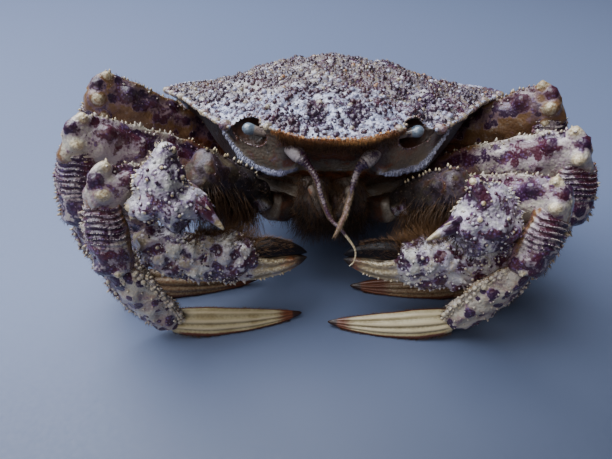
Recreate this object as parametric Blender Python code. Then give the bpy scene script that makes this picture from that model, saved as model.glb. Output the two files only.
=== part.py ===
"""Helmet crab, life size, resting on its folded legs and looking along -Y.

Lengths below are in millimetres and become metres where a point is made.
+Z is up and the crab's right side is at -X.
"""

import math
import random

import bmesh
import bpy
from mathutils import Matrix, Vector

MM = 0.001
GAP = 0.3  # left between neighbouring shells
SIDES = {"right": -1, "left": 1}

# Shell, as half of its outline seen from above: (x, y, height of the margin)
SHELL_OUTLINE = (
    (0.0, -40.6, 53.4),
    (7.0, -40.2, 53.2),
    (12.5, -38.2, 54.2),
    (17.0, -36.4, 55.2),
    (22.5, -33.6, 55.0),
    (27.6, -31.0, 53.2),
    (35.0, -23.5, 53.2),
    (43.5, -12.5, 53.8),
    (50.6, -5.0, 53.8),
    (49.6, 9.0, 51.2),
    (42.5, 24.0, 45.5),
    (33.0, 38.0, 38.5),
    (21.0, 47.0, 33.6),
    (0.0, 49.0, 32.6),
)
SHELL_CENTRE = (0.0, -4.0)
# The body is turned a little under its limbs, and lies a little to the left of them
BODY_YAW = -2.0
BODY_SHIFT = (0.7, 0.0, 0.0)
SHELL_TOP = 61.4
SHELL_POINTS = 48
DOME_STEPS = (0.95, 0.87, 0.77, 0.65, 0.52, 0.38, 0.23, 0.09)
BACK_BEADS = 92
GOLDEN_TURN = 0.381966
# Teeth of one half of the margin, from the front to the side corner: (x, y, z, half width)
MARGIN_TEETH = (
    (3.6, -40.6, 53.6, 1.2),
    (10.0, -39.2, 53.8, 0.9),
    (16.6, -36.8, 55.2, 1.3),
    (27.8, -30.8, 53.2, 1.3),
    (34.8, -23.6, 53.4, 1.1),
    (39.6, -17.2, 53.8, 1.1),
    (44.4, -11.2, 53.9, 1.3),
    (50.2, -5.4, 53.9, 1.5),
)
# Swellings and furrows of the back: (x, y, reach, height)
SHELL_LOBES = (
    (0.0, -17.0, 7.0, 0.9),
    (11.5, -23.0, 6.0, 1.0),
    (27.0, -8.0, 9.0, 1.1),
    (30.0, 13.0, 9.0, 0.9),
    (0.0, 14.0, 8.0, 0.9),
    (14.5, -2.0, 4.5, -1.2),
    (6.0, -29.0, 4.0, -0.7),
    (9.0, 12.0, 4.0, -0.8),
    (20.0, -18.0, 4.5, -0.7),
)
ORBIT = (21.4, -35.2, 53.4)
ORBIT_SIZE = (4.7, 5.2, 3.9)
ORBIT_TURN = -20
ORBIT_CLEAR = 6.5  # no bead of the back is nearer to the middle of a socket
# How far the side wall drops from the margin, and how far in its ridge lies, at the sides, front and rear
WALL_DROP = (6.0, 13.0, 5.0)
WALL_REACH = (0.87, 0.94, 0.94)
MOUTH_RECESS = (0.07, 9.0)  # share by which the wall steps back over the mouth, and half its width
# Under the shell, as one plane that falls towards the tail
FLOOR_OF_SHELL = (31.5, -0.08)
CHEST_OUTLINE = (
    (0.0, -30.5),
    (12.0, -29.0),
    (22.0, -20.0),
    (25.5, -4.0),
    (24.0, 12.0),
    (17.0, 26.0),
    (0.0, 33.0),
)
CHEST_DEPTH = 10.5
# The chest from its keel up: (share of the outline, share of the depth below the shell)
CHEST_LEVELS = ((0.62, 1.0), (0.86, 0.86), (1.0, 0.5), (0.97, 0.0))
CHEST_POINTS = 30

# Where the joints of each walking leg lie: hip, knee, wrist, ankle and tip
LEG_JOINTS = {
    "right": (
        ((-24, -19, 24), (-55.0, -53, 47.5), (-54.6, -57.5, 27.8), (-46, -54.4, 5.6), (-8.6, -47.6, 1.6)),
        ((-26, -7, 22.5), (-65.2, -37, 52.0), (-67.8, -41, 30.5), (-59, -38.5, 5.8), (-22, -32, 1.6)),
        ((-26, 5, 21.5), (-64.6, -19, 56.5), (-68.5, -22, 34), (-60, -19, 5.8), (-23, -14.5, 1.6)),
        ((-23, 16, 20.5), (-53, 17, 36), (-58, 22, 20), (-51, 26, 4.8), (-21, 33, 1.4)),
    ),
    "left": (
        ((24, -19, 24), (52.0, -53, 44.0), (47.0, -57.5, 27.6), (34.7, -54.4, 5.8), (-1.0, -51.2, 1.6)),
        ((26, -7, 22.5), (62.6, -37, 48.0), (63.4, -41, 31), (46.5, -37.5, 5.8), (6.6, -36, 1.6)),
        ((26, 5, 21.5), (60.6, -19, 53.8), (63.5, -22, 32), (54, -19, 5.8), (17, -15.5, 1.6)),
        ((23, 16, 20.5), (52, 17, 36), (57, 22, 20), (50, 26, 4.8), (20, 33, 1.4)),
    ),
}
DACTYL_LEAN = (0, -0.5, -0.87)  # its curved edge rests on the floor, and its face looks up and forward
LEG_SCALE = (1.0, 1.08, 1.06, 0.84)
# Where the joints of each claw lie: hip, elbow, wrist top and bottom, palm root, knuckle and tips
CLAW_JOINTS = {
    "right": {
        "hip": (-16, -28, 26),
        "elbow": (-35, -44, 49),
        "top": (-36.6, -50.0, 57.0),
        "bottom": (-41.0, -54.0, 36.4),
        "root": (-48.6, -49.2, 29.0),
        "knuckle": (-21.6, -47.0, 21.2),
        "tip": (-7.0, -45.4, 21.4),
        "spine": (-26.6, -57, 39.6),
    },
    "left": {
        "hip": (16, -28, 26),
        "elbow": (33.8, -44, 43.5),
        "top": (33.6, -49.8, 51.4),
        "bottom": (38.0, -53.8, 31.2),
        "root": (46.6, -49.4, 24.8),
        "knuckle": (18.2, -47.0, 20.4),
        "tip": (3.0, -45.4, 20.6),
        "spine": (21.6, -57, 36.4),
    },
}
# Half width and half height of each piece, and its stations: (place along it, width, height)
SEGMENTS = {
    "merus": (3.5, 6.4, ((0, 0.62, 0.5), (0.1, 0.75, 0.62), (0.4, 0.92, 0.92),
                         (0.75, 1, 1), (0.93, 0.98, 0.96), (1, 0.7, 0.7))),
    "carpus": (3.7, 5.2, ((0, 0.5, 0.45), (0.14, 0.8, 0.78), (0.4, 1, 1),
                          (0.75, 1, 1), (0.93, 0.92, 0.9), (1, 0.6, 0.62))),
    "propodus": (3.2, 6.4, ((0, 0.55, 0.5), (0.14, 0.85, 0.78), (0.4, 1, 1),
                            (0.75, 0.96, 0.92), (0.94, 0.85, 0.7), (1, 0.5, 0.45))),
    "dactylus": (2.2, 4.4, ((0, 0.7, 0.66), (0.1, 0.95, 0.9), (0.3, 1, 1),
                            (0.6, 0.8, 0.8), (0.85, 0.45, 0.45), (1, 0.14, 0.1))),
    "arm": (5.2, 5.6, ((0, 0.6, 0.6), (0.15, 0.8, 0.8), (0.5, 1, 0.95), (0.9, 1, 1), (1, 0.8, 0.8))),
    "wrist": (9.0, 7.4, ((0, 0.3, 0.35), (0.08, 0.6, 0.62), (0.3, 0.95, 0.95),
                         (0.6, 1, 1), (0.88, 0.82, 0.86), (1, 0.55, 0.62))),
    "palm": (4.6, 7.3, ((0, 0.55, 0.5), (0.12, 0.82, 0.72), (0.4, 1, 0.93),
                        (0.8, 1, 1), (0.95, 0.85, 0.92), (1, 0.6, 0.7))),
    "claw": (2.9, 3.3, ((0, 1, 1), (0.35, 0.9, 0.9), (0.7, 0.62, 0.62), (0.92, 0.3, 0.28), (1, 0.1, 0.1))),
}
PIECES_OF_LEG = ("merus", "carpus", "propodus", "dactylus")
# How far each piece runs past its joint, to take the root of the next one, and how much it arches
OVERHANG = {"merus": 3.4, "carpus": 1.6, "propodus": 2.6, "dactylus": 0.0}
BOW = {"merus": 1.0, "carpus": 0.4, "propodus": 0.5, "dactylus": 1.3}
HIP_SPACE = 4.0  # from the hip joint to the root of the upper leg
HIP_LENGTH = 9.0
HIP_STATIONS = ((0, 1.2, 1.2), (0.7, 1.3, 1.3), (1, 1.12, 1.12))
REAR_THORNS = 0.8  # size of the spines of the two rear legs
THORN_LEAN = 0.35
THORN_RADIUS = 0.62
# Rows of spines on each piece of a leg: (angle round it, first and last place, count, height)
LEG_THORNS = {
    "merus": ((90, 0.58, 0.95, 4, 0.9),),
    "carpus": ((90, 0.2, 0.92, 4, 1.1),),
    "propodus": ((90, 0.1, 0.92, 6, 1.1), (-90, 0.25, 0.85, 3, 0.8)),
}
# Bosses at the end of an upper leg, on its front: (place along it, angle, radius)
KNEE_KNOBS = ((0.93, 28, 2.0), (0.95, -30, 1.8))
# Rows of spines on a claw: (angle, first and last place, count, height, radius). On the right claw's wrist
# the angle 0 faces outwards and 90 forward, and on its palm 180 faces forward and -90 down.
CLAW_THORNS = {
    "arm": ((90, 0.35, 0.9, 4, 1.1, 0.7),),
    "wrist": ((90, 0.12, 0.85, 4, 1.0, 0.8), (50, 0.15, 0.8, 4, 1.1, 0.8), (130, 0.15, 0.8, 4, 1.1, 0.8),
              (8, 0.2, 0.7, 3, 1.2, 0.9), (172, 0.2, 0.5, 2, 1.2, 0.9)),
    "palm": ((-90, 0.06, 0.95, 7, 1.5, 0.75), (-135, 0.1, 0.95, 6, 1.1, 0.75), (180, 0.12, 0.9, 5, 1.0, 0.9),
             (135, 0.3, 0.95, 5, 1.1, 0.8), (90, 0.4, 0.95, 4, 1.0, 0.8)),
    "fixed": ((-90, 0.05, 0.75, 4, 0.8, 0.5),),
}
# The fringe of spines along the lower edge of a claw's wrist: angles, height and lean
FRINGE = ((25, 48, 70, 92, 114, 138), 1.5, 1.1)
RING = 10
LENS = 1.75  # below 2, a section has sharper upper and lower edges
ROUND = 2.2
# Where the fixed and the moving finger start from the knuckle, outwards, back and up, and end at the tip
FINGER_ROOTS = ((4.0, 0.0, -3.2), (1.0, 0.4, 3.4))
FINGER_TIPS = ((0.0, 0.0, -0.4), (0.0, 0.6, 1.4))
CLAW_BASE = 3.2  # radius of the foot of the long spine on a claw's wrist
THORN_SINK = 1.2
THORN_SPREAD = 1.3
KNOB_SIDES = 7

# The long feelers: places along each, and its radius there
FEELERS = {
    "right": (
        (-12.2, -33.6, 49.8),
        (-9.3, -37.7, 49.0),
        (-6.9, -39.4, 47.0),
        (-4.6, -41.4, 44.2),
        (-3.4, -44.0, 40.8),
        (-1.1, -46.8, 35.7),
        (1.9, -49.3, 33.4),
        (5.2, -51.5, 29.3),
        (5.2, -52.5, 26.1),
        (3.9, -53.0, 24.6),
    ),
    "left": (
        (11.6, -33.6, 48.8),
        (8.9, -37.7, 47.8),
        (6.2, -39.6, 46.0),
        (5.0, -41.4, 43.2),
        (3.9, -44.6, 40.6),
        (2.3, -49.2, 37.9),
        (-0.3, -53.3, 34.2),
    ),
}
FEELER_SIZES = {
    "right": (1.7, 1.9, 1.1, 0.85, 0.8, 0.75, 0.65, 0.5, 0.36, 0.26),
    "left": (1.7, 1.9, 1.1, 0.85, 0.8, 0.95, 0.3),
}
FEELER_STEPS = 2
FEELER_SIDES = 6
PLATE_SIDES = 12  # round a section of a jaw foot and of the tail
EYE_SIZE = (1.9, 1.9, 1.8)
EYE_PLACE = (0.6, 1.0, 0.2)  # from the middle of the socket
STALK_ROOT = (-5.6, 2.4, -1.2)
STALK_TIP = (0.0, 1.2, 0.0)
STALK_SCALE = 0.5
STALK_STATIONS = ((0, 1.0, 1.0), (0.5, 0.85, 0.85), (1, 0.9, 0.9))
# Sections of a jaw foot, top first: (height, inner edge, outer edge, y, thickness)
JAW_SECTIONS = (
    (40.5, 1.2, 7.0, -35.2, 2.2),
    (38.5, 0.8, 9.0, -35.8, 3.0),
    (32.0, 0.5, 10.0, -35.6, 3.6),
    (25.5, 0.5, 9.0, -34.0, 3.4),
    (22.5, 1.0, 6.5, -32.6, 2.4),
)

# Sections of the tail from its tip: (y, half width, thickness, rise above the keel)
TAIL_SECTIONS = (
    (-12, 3.0, 1.6, 0.0),
    (-4, 4.6, 2.0, 0.0),
    (8, 6.4, 2.4, 0.0),
    (20, 8.6, 2.8, 0.0),
    (30, 10.5, 3.2, 0.2),
    (36, 11.5, 3.6, 2.2),
    (40, 11.0, 4.0, 5.2),
    (43, 9.0, 3.6, 7.6),
)

COLOURS = {
    "shell": (0.62, 0.62, 0.68), "under": (0.42, 0.36, 0.28), "leg": (0.45, 0.38, 0.42),
    "claw": (0.55, 0.52, 0.58), "finger": (0.10, 0.06, 0.05), "horn": (0.55, 0.45, 0.25),
    "eye": (0.55, 0.60, 0.65), "feeler": (0.30, 0.20, 0.30),
}
GLOSSY = ("finger", "eye")


def point(values):
    """A point given in millimetres."""
    return Vector(values) * MM


def on_body(values):
    """A point of the body, in millimetres, where the turned body has it."""
    return Matrix.Rotation(math.radians(BODY_YAW), 3, "Z") @ Vector(values) + Vector(BODY_SHIFT)


def material(slot):
    """The finish of one slot, made once."""
    if slot not in bpy.data.materials:
        made = bpy.data.materials.new(slot)
        made.use_nodes = True
        shader = made.node_tree.nodes["Principled BSDF"]
        shader.inputs["Base Color"].default_value = (*COLOURS[slot], 1.0)
        shader.inputs["Roughness"].default_value = 0.25 if slot in GLOSSY else 0.6
        shader.inputs["Metallic"].default_value = 0.0
    return bpy.data.materials[slot]


def add_object(name, mesh_editor, slot):
    """Turns a bmesh into a smooth shaded object of the scene."""
    bmesh.ops.recalc_face_normals(mesh_editor, faces=mesh_editor.faces)
    mesh = bpy.data.meshes.new(name)
    mesh_editor.to_mesh(mesh)
    mesh_editor.free()
    made = bpy.data.objects.new(name, mesh)
    mesh.materials.append(material(slot))
    bpy.context.scene.collection.objects.link(made)
    mesh.shade_smooth()
    mesh.set_sharp_from_angle(angle=math.radians(50))
    return made


def loft(rings):
    """A closed skin through rings of equally many points, extruded from one to the next."""
    mesh_editor = bmesh.new()
    place = mesh_editor.verts.layers.int.new("place")
    first = bmesh.ops.create_circle(mesh_editor, cap_ends=True, radius=1.0, segments=len(rings[0]))["verts"]
    for index, vertex in enumerate(first):
        vertex[place] = index
        vertex.co = rings[0][index]
    edges = list(mesh_editor.edges)
    for ring in rings[1:]:
        grown = bmesh.ops.extrude_edge_only(mesh_editor, edges=edges)["geom"]
        for item in grown:
            if isinstance(item, bmesh.types.BMVert):
                item.co = ring[item[place]]
        edges = [e for e in grown if isinstance(e, bmesh.types.BMEdge) and len(e.link_faces) == 1]
    bmesh.ops.holes_fill(mesh_editor, edges=edges, sides=0)
    return mesh_editor


class Segment:
    """One piece of a limb: a tapering tube from start to end whose sections are squashed ovals."""

    def __init__(self, kind, start, end, crest, scale=1.0, power=LENS, bow=0.0):
        self.kind = kind
        self.start = Vector(start)
        self.end = Vector(end)
        self.along = (self.end - self.start).normalized()
        self.crest = (Vector(crest) - self.along * Vector(crest).dot(self.along)).normalized()
        self.side = self.along.cross(self.crest)
        self.half_width, self.half_height, self.stations = SEGMENTS[kind]
        self.half_width *= scale
        self.half_height *= scale
        self.power = power
        self.bow = bow

    def size_at(self, share):
        """Half width and half height at a share of the length."""
        before = self.stations[0]
        for after in self.stations[1:]:
            if share <= after[0]:
                part = (share - before[0]) / (after[0] - before[0])
                wide = before[1] + part * (after[1] - before[1])
                high = before[2] + part * (after[2] - before[2])
                return wide * self.half_width, high * self.half_height
            before = after
        return before[1] * self.half_width, before[2] * self.half_height

    def centre(self, share):
        lift = 4 * share * (1 - share) * self.bow
        return self.start.lerp(self.end, share) + self.crest * lift

    def at(self, share, degrees, above=0.0):
        """A point of the surface, in millimetres. 90 degrees is the crest and 0 the side."""
        wide, high = self.size_at(share)
        turn = math.radians(degrees)
        across = math.copysign(abs(math.cos(turn)) ** (2 / self.power), math.cos(turn))
        up = math.copysign(abs(math.sin(turn)) ** (2 / self.power), math.sin(turn))
        return self.centre(share) + self.side * across * (wide + above) + self.crest * up * (high + above)

    def outward(self, degrees):
        turn = math.radians(degrees)
        across = math.cos(turn) / self.half_width
        up = math.sin(turn) / self.half_height
        return (self.side * across + self.crest * up).normalized()

    def thorn(self, share, degrees, height, radius, lean=0.0, sides=4):
        """A spine with a sunk root, leaning towards the end of the piece by a share of its height."""
        outward = (self.outward(degrees) + self.along * lean).normalized()
        root = self.at(share, degrees) - outward * radius * THORN_SINK
        tip = self.at(share, degrees) + outward * height
        return cone(root, tip, radius * THORN_SPREAD, sides)

    def knob(self, share, degrees, radius):
        """A round boss, half sunk in the surface."""
        return ball(self.at(share, degrees), (radius, radius, radius), KNOB_SIDES)

    def skin(self, grow=0.0):
        """The loft of the piece, thicker and longer by grow all round."""
        rings = []
        for share, _, _ in self.stations:
            end_step = -grow if share == 0 else grow if share == 1 else 0.0
            shift = self.along * end_step
            rings.append([
                (self.at(share, 360 * k / RING, grow) + shift) * MM for k in range(RING)
            ])
        return loft(rings)


def plain_object(name, segment, slot):
    return add_object(name, segment.skin(), slot)


def evaluated_mesh(obj):
    """Applies an object's modifiers and keeps its largest closed surface."""
    graph = bpy.context.evaluated_depsgraph_get()
    mesh = bpy.data.meshes.new_from_object(obj.evaluated_get(graph))
    obj.modifiers.clear()
    obj.data = mesh
    keep_largest(mesh)


def keep_largest(mesh):
    """Drops every closed surface of the mesh but the one with the most room inside."""
    mesh_editor = bmesh.new()
    mesh_editor.from_mesh(mesh)
    left = set(mesh_editor.faces)
    islands = []
    while left:
        stack = [left.pop()]
        island = list(stack)
        while stack:
            for edge in stack.pop().edges:
                for face in edge.link_faces:
                    if face in left:
                        left.remove(face)
                        stack.append(face)
                        island.append(face)
        islands.append(island)
    if len(islands) > 1:
        islands.sort(key=room_inside)
        extra = [face for island in islands[:-1] for face in island]
        bmesh.ops.delete(mesh_editor, geom=extra, context="FACES")
        mesh_editor.to_mesh(mesh)
    mesh_editor.free()


def room_inside(faces):
    """Volume held by a closed set of faces."""
    volume = 0.0
    for face in faces:
        corners = [loop.vert.co for loop in face.loops]
        for second, third in zip(corners[1:], corners[2:]):
            volume += corners[0].dot(second.cross(third))
    return volume


def cut(obj, mesh_editor):
    """Takes a closed mesh away from an object."""
    tool = add_object("tool", mesh_editor, "under")
    step = obj.modifiers.new("cut", "BOOLEAN")
    step.operation = "DIFFERENCE"
    step.object = tool
    evaluated_mesh(obj)
    bpy.data.objects.remove(tool)


def fuse(obj, mesh_editors):
    """Joins closed meshes onto an object with one union."""
    group = bpy.data.collections.new("pieces")
    bpy.context.scene.collection.children.link(group)
    for mesh_editor in mesh_editors:
        tool = add_object("piece", mesh_editor, "under")
        bpy.context.scene.collection.objects.unlink(tool)
        group.objects.link(tool)
    step = obj.modifiers.new("fuse", "BOOLEAN")
    step.operation = "UNION"
    step.operand_type = "COLLECTION"
    step.collection = group
    evaluated_mesh(obj)
    for tool in list(group.objects):
        bpy.data.objects.remove(tool)
    bpy.data.collections.remove(group)


def cut_at_floor(obj):
    """Makes a flat foot of whatever lies below the floor."""
    mesh_editor = bmesh.new()
    mesh_editor.from_mesh(obj.data)
    geometry = mesh_editor.verts[:] + mesh_editor.edges[:] + mesh_editor.faces[:]
    cut_ring = bmesh.ops.bisect_plane(
        mesh_editor, geom=geometry, dist=1e-7, plane_co=(0, 0, 0), plane_no=(0, 0, -1), clear_outer=True
    )["geom_cut"]
    edges = [item for item in cut_ring if isinstance(item, bmesh.types.BMEdge)]
    if edges:
        bmesh.ops.holes_fill(mesh_editor, edges=edges, sides=0)
        bmesh.ops.recalc_face_normals(mesh_editor, faces=mesh_editor.faces)
        mesh_editor.to_mesh(obj.data)
    mesh_editor.free()


def ball(centre, sizes, segments=12, turn=None):
    """A closed ellipsoid about a point in millimetres."""
    mesh_editor = bmesh.new()
    bmesh.ops.create_uvsphere(mesh_editor, u_segments=segments, v_segments=segments // 2 + 1, radius=MM)
    bmesh.ops.scale(mesh_editor, verts=mesh_editor.verts, vec=sizes)
    if turn is not None:
        bmesh.ops.rotate(mesh_editor, verts=mesh_editor.verts, cent=(0, 0, 0), matrix=turn)
    bmesh.ops.translate(mesh_editor, verts=mesh_editor.verts, vec=point(centre))
    return mesh_editor


def cone(root, tip, radius, sides=5):
    """A spine from its sunk root to its tip, both in millimetres."""
    root, tip = Vector(root), Vector(tip)
    length = (tip - root).length
    mesh_editor = bmesh.new()
    bmesh.ops.create_cone(
        mesh_editor, cap_ends=True, segments=sides, radius1=radius * MM, radius2=0.0, depth=length * MM
    )
    bmesh.ops.rotate(
        mesh_editor, verts=mesh_editor.verts, cent=(0, 0, 0),
        matrix=(tip - root).to_track_quat("Z", "Y").to_matrix(),
    )
    bmesh.ops.translate(mesh_editor, verts=mesh_editor.verts, vec=(root + tip) / 2 * MM)
    return mesh_editor


def curve_point(before, first, second, after, t):
    """A point of the Catmull-Rom curve from the second of four corners to the third."""
    slope = second - before
    bend = 2 * before - 5 * first + 4 * second - after
    twist = 3 * first - before - 3 * second + after
    return 0.5 * (2 * first + slope * t + bend * t ** 2 + twist * t ** 3)


def smooth_path(corners, steps):
    """Points of a Catmull-Rom curve through the corners, with so many steps between each two."""
    corners = [Vector(c) for c in corners]
    padded = [2 * corners[0] - corners[1], *corners, 2 * corners[-1] - corners[-2]]
    path = []
    for corner in zip(padded, padded[1:], padded[2:], padded[3:]):
        path += [curve_point(*corner, step / steps) for step in range(steps)]
    path.append(corners[-1])
    return path


def closed_outline(half, count):
    """Evenly spaced points round an outline given by its +X half, from the front round the left side."""
    mirrored = [(-p[0], *p[1:]) for p in reversed(half[1:-1])]
    corners = [Vector(p) if len(p) == 3 else Vector((*p, 0)) for p in (*half, *mirrored)]
    fine = []
    for index, first in enumerate(corners):
        before = corners[index - 1]
        second = corners[(index + 1) % len(corners)]
        after = corners[(index + 2) % len(corners)]
        fine += [curve_point(before, first, second, after, step / 12) for step in range(12)]
    lengths = [0.0]
    for first, second in zip(fine, fine[1:] + fine[:1]):
        lengths.append(lengths[-1] + (second.xy - first.xy).length)
    points = []
    index = 0
    for k in range(count):
        wanted = lengths[-1] * k / count
        while lengths[index + 1] < wanted:
            index += 1
        part = (wanted - lengths[index]) / (lengths[index + 1] - lengths[index])
        points.append(fine[index].lerp(fine[(index + 1) % len(fine)], part))
    return points


def lobes_at(x, y):
    """How far the back swells or sinks at a place."""
    height = 0.0
    for lobe_x, lobe_y, reach, rise in SHELL_LOBES:
        for side in (-1, 1) if lobe_x else (1,):
            away = (x - side * lobe_x) ** 2 + (y - lobe_y) ** 2
            height += rise * math.exp(-away / reach ** 2)
    return height


def dome_point(edge, share):
    """A point of the back between its centre, at share 0, and a point of the margin, at share 1."""
    centre = Vector((*SHELL_CENTRE, SHELL_TOP))
    flat = centre.lerp(edge, share)
    sideways = abs(edge.x) / 50
    bell = math.cos(math.pi / 2 * share) ** 1.7
    arch = 1 - share ** 2.2
    rise = sideways ** 2 * bell + (1 - sideways ** 2) * arch
    fade = 1 - share ** 4
    height = edge.z + (SHELL_TOP - edge.z) * rise + fade * lobes_at(flat.x, flat.y)
    return Vector((flat.x, flat.y, height))


def under_plane(y):
    """Height of the plane where the shell ends and the chest begins."""
    return FLOOR_OF_SHELL[0] + FLOOR_OF_SHELL[1] * (y + 35)


def between(low, high, value):
    """How far a value lies from low to high, held between 0 and 1."""
    return max(0.0, min(1.0, (value - low) / (high - low)))


def shell_rings():
    """Rings of the shell from its floor, over the ridge and the margin, to the top of the back."""
    outline = closed_outline(SHELL_OUTLINE, SHELL_POINTS)
    centre = Vector((*SHELL_CENTRE, 0))
    floor_ring, slope_ring, ridge_ring, plate_ring, lip_ring, margin_ring = [], [], [], [], [], []
    for edge in outline:
        ahead = between(-8, -32, edge.y)
        behind = between(20, 44, edge.y)
        side = 1 - ahead - behind
        drop = side * WALL_DROP[0] + ahead * WALL_DROP[1] + behind * WALL_DROP[2]
        recess = ahead * MOUTH_RECESS[0] * math.exp(-(edge.x / MOUTH_RECESS[1]) ** 2)
        reach = side * WALL_REACH[0] + ahead * WALL_REACH[1] + behind * WALL_REACH[2] - recess

        def ring_point(share, height):
            flat = centre.lerp(edge, share)
            return Vector((flat.x, flat.y, height))

        low = under_plane(centre.lerp(edge, 0.6).y) + GAP / 2
        floor_share = 0.6 + 0.12 * behind
        floor_ring.append(ring_point(floor_share, low))
        slope_ring.append(ring_point(0.5 * (floor_share + reach) + 0.03, max(low + 2.0, edge.z - drop - 5.0)))
        ridge_ring.append(ring_point(reach, max(edge.z - drop, low + 4.0)))
        plate_ring.append(ring_point(0.5 * (reach + 0.985), max(edge.z - drop * 0.5, low + 4.6)))
        lip_ring.append(ring_point(0.985, edge.z - 1.3))
        margin_ring.append(ring_point(1.0, edge.z))
    rings = [floor_ring, slope_ring, ridge_ring, plate_ring, lip_ring, margin_ring]
    for share in DOME_STEPS:
        rings.append([dome_point(edge, share) for edge in outline])
    return [[on_body(p) * MM for p in ring] for ring in rings]


def bead(place, outward, height, radius, sides=4):
    """A small cone on a surface, its root sunk by its own radius."""
    wide = radius * (height + radius) / height
    return cone(place - outward * radius, place + outward * height, wide, sides)


def dome_normal(edge, following, share):
    """Which way the back faces at a place."""
    here = dome_point(edge, share)
    inward = dome_point(edge, share - 0.04) - here
    around = dome_point(following, share) - here
    return inward.cross(around).normalized()


def shell_beads():
    """Beads spread over the back, fewer and larger than the real ones, each a low cone."""
    draw = random.Random(3)
    outline = closed_outline(SHELL_OUTLINE, SHELL_POINTS)
    beads = []
    for count in range(BACK_BEADS):
        share = 0.94 * math.sqrt((count + 0.5) / BACK_BEADS)
        index = int(count * GOLDEN_TURN * SHELL_POINTS + draw.uniform(-0.4, 0.4)) % SHELL_POINTS
        edge = outline[index]
        place = dome_point(edge, share)
        if min((place - Vector((side * ORBIT[0], *ORBIT[1:]))).length for side in (-1, 1)) < ORBIT_CLEAR:
            continue
        outward = dome_normal(edge, outline[(index + 1) % SHELL_POINTS], share)
        if outward.z < 0:
            outward.negate()
        height = draw.uniform(0.6, 0.95)
        beads.append(bead(on_body(place), outward, height, draw.uniform(0.75, 1.0)))
    return beads


def margin_beads():
    """Teeth and beads along the margin, between the eye sockets and on the ridge under them."""
    beads = []
    centre = Vector((*SHELL_CENTRE, 50))
    for side in (-1, 1):
        for x, y, z, size in MARGIN_TEETH:
            place = Vector((side * x, y, z))
            outward = (place - centre).normalized()
            beads.append(bead(on_body(place - outward * 0.4), outward, 1.5 * size, size, 5))
    outline = closed_outline(SHELL_OUTLINE, SHELL_POINTS)
    for edge in outline:
        if 2 < edge.y < 46 and abs(edge.x) > 14:
            outward = (edge - centre).normalized()
            beads.append(bead(on_body(edge - outward * 0.3), outward, 0.9, 0.8))
    ridge = shell_rings()[2]
    for first, second in zip(ridge, ridge[1:] + ridge[:1]):
        for part in (0.0, 0.5):
            place = first.lerp(second, part) / MM
            if place.y < -13 and 10 < abs(place.x) < 38:
                outward = Vector((place.x * 0.6, place.y - SHELL_CENTRE[1], -8)).normalized()
                beads.append(bead(place - outward * 0.3, outward, 0.8, 0.8))
    return beads


def build_shell():
    """The shell over the whole body, with a socket for each eye and room for what grows from it."""
    shell = add_object("carapace", loft(shell_rings()), "shell")
    fuse(shell, shell_beads() + margin_beads())
    for side, sign in SIDES.items():
        turn = Matrix.Rotation(math.radians(ORBIT_TURN * sign), 3, "Z")
        cut(shell, ball(in_socket(sign, (0, 0, 0)), ORBIT_SIZE, 12, turn))
        cut(shell, stalk_segment(sign).skin(GAP))
        cut(shell, feeler_skin(side, GAP))
        cut(shell, jaw_skin(sign, GAP))
        cut(shell, claw_segments(side)["arm"].skin(GAP))
        for number in (1, 2, 3):
            cut(shell, leg_segments(side, number)["merus"].skin(GAP))
    return shell


def chest_rings():
    """Rings of the chest from its keel to the plane under the shell."""
    rings = []
    for share, depth in CHEST_LEVELS:
        ring = []
        for edge in closed_outline(CHEST_OUTLINE, CHEST_POINTS):
            flat = Vector((edge.x * share, edge.y * share, 0))
            flat.z = under_plane(flat.y) - max(depth * CHEST_DEPTH, GAP / 2)
            ring.append(on_body(flat) * MM)
        rings.append(ring)
    return rings


def leg_segments(side, number):
    """The four pieces of one walking leg, as it is folded."""
    hip, knee, wrist, ankle, tip = (Vector(p) for p in LEG_JOINTS[side][number])
    scale = LEG_SCALE[number]
    joints = (hip, knee, wrist, ankle, tip)
    outside = Vector((SIDES[side], 0, 0))
    segments = {}
    for index, kind in enumerate(PIECES_OF_LEG):
        start, end = joints[index], joints[index + 1]
        along = (end - start).normalized()
        crest = {
            "merus": Vector((0, 0, 1)),
            "carpus": outside,
            "propodus": outside,
            "dactylus": Vector(DACTYL_LEAN),
        }[kind]
        if kind == "merus":
            start = start + along * HIP_SPACE
        end = end + along * OVERHANG[kind] * scale
        segments[kind] = Segment(kind, start, end, crest, scale, LENS, BOW[kind] * scale)
    return segments


def claw_segments(side):
    """The pieces of one claw, as it is folded before the mouth."""
    joints = {name: Vector(p) for name, p in CLAW_JOINTS[side].items()}
    knuckle, tip = joints["knuckle"], joints["tip"]
    up = Vector((0, 0, 1))
    arm_start = joints["hip"].lerp(joints["elbow"], 0.14)
    fixed_root, finger_root = (knuckle + Vector((SIDES[side] * x, y, z)) for x, y, z in FINGER_ROOTS)
    fixed_tip, finger_tip = (tip + Vector(step) for step in FINGER_TIPS)
    return {
        "arm": Segment("arm", arm_start, joints["elbow"], up, 1.0, ROUND, 0.6),
        "wrist": Segment("wrist", joints["top"], joints["bottom"], Vector((0, -1, 0)), 1.0, ROUND, 1.0),
        "palm": Segment("palm", joints["root"], knuckle, up, 1.0, ROUND, 0.6),
        "fixed": Segment("claw", fixed_root, fixed_tip, up, 1.0, ROUND, -0.8),
        "finger": Segment("claw", finger_root, finger_tip, up, 0.96, ROUND, 1.9),
    }


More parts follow.
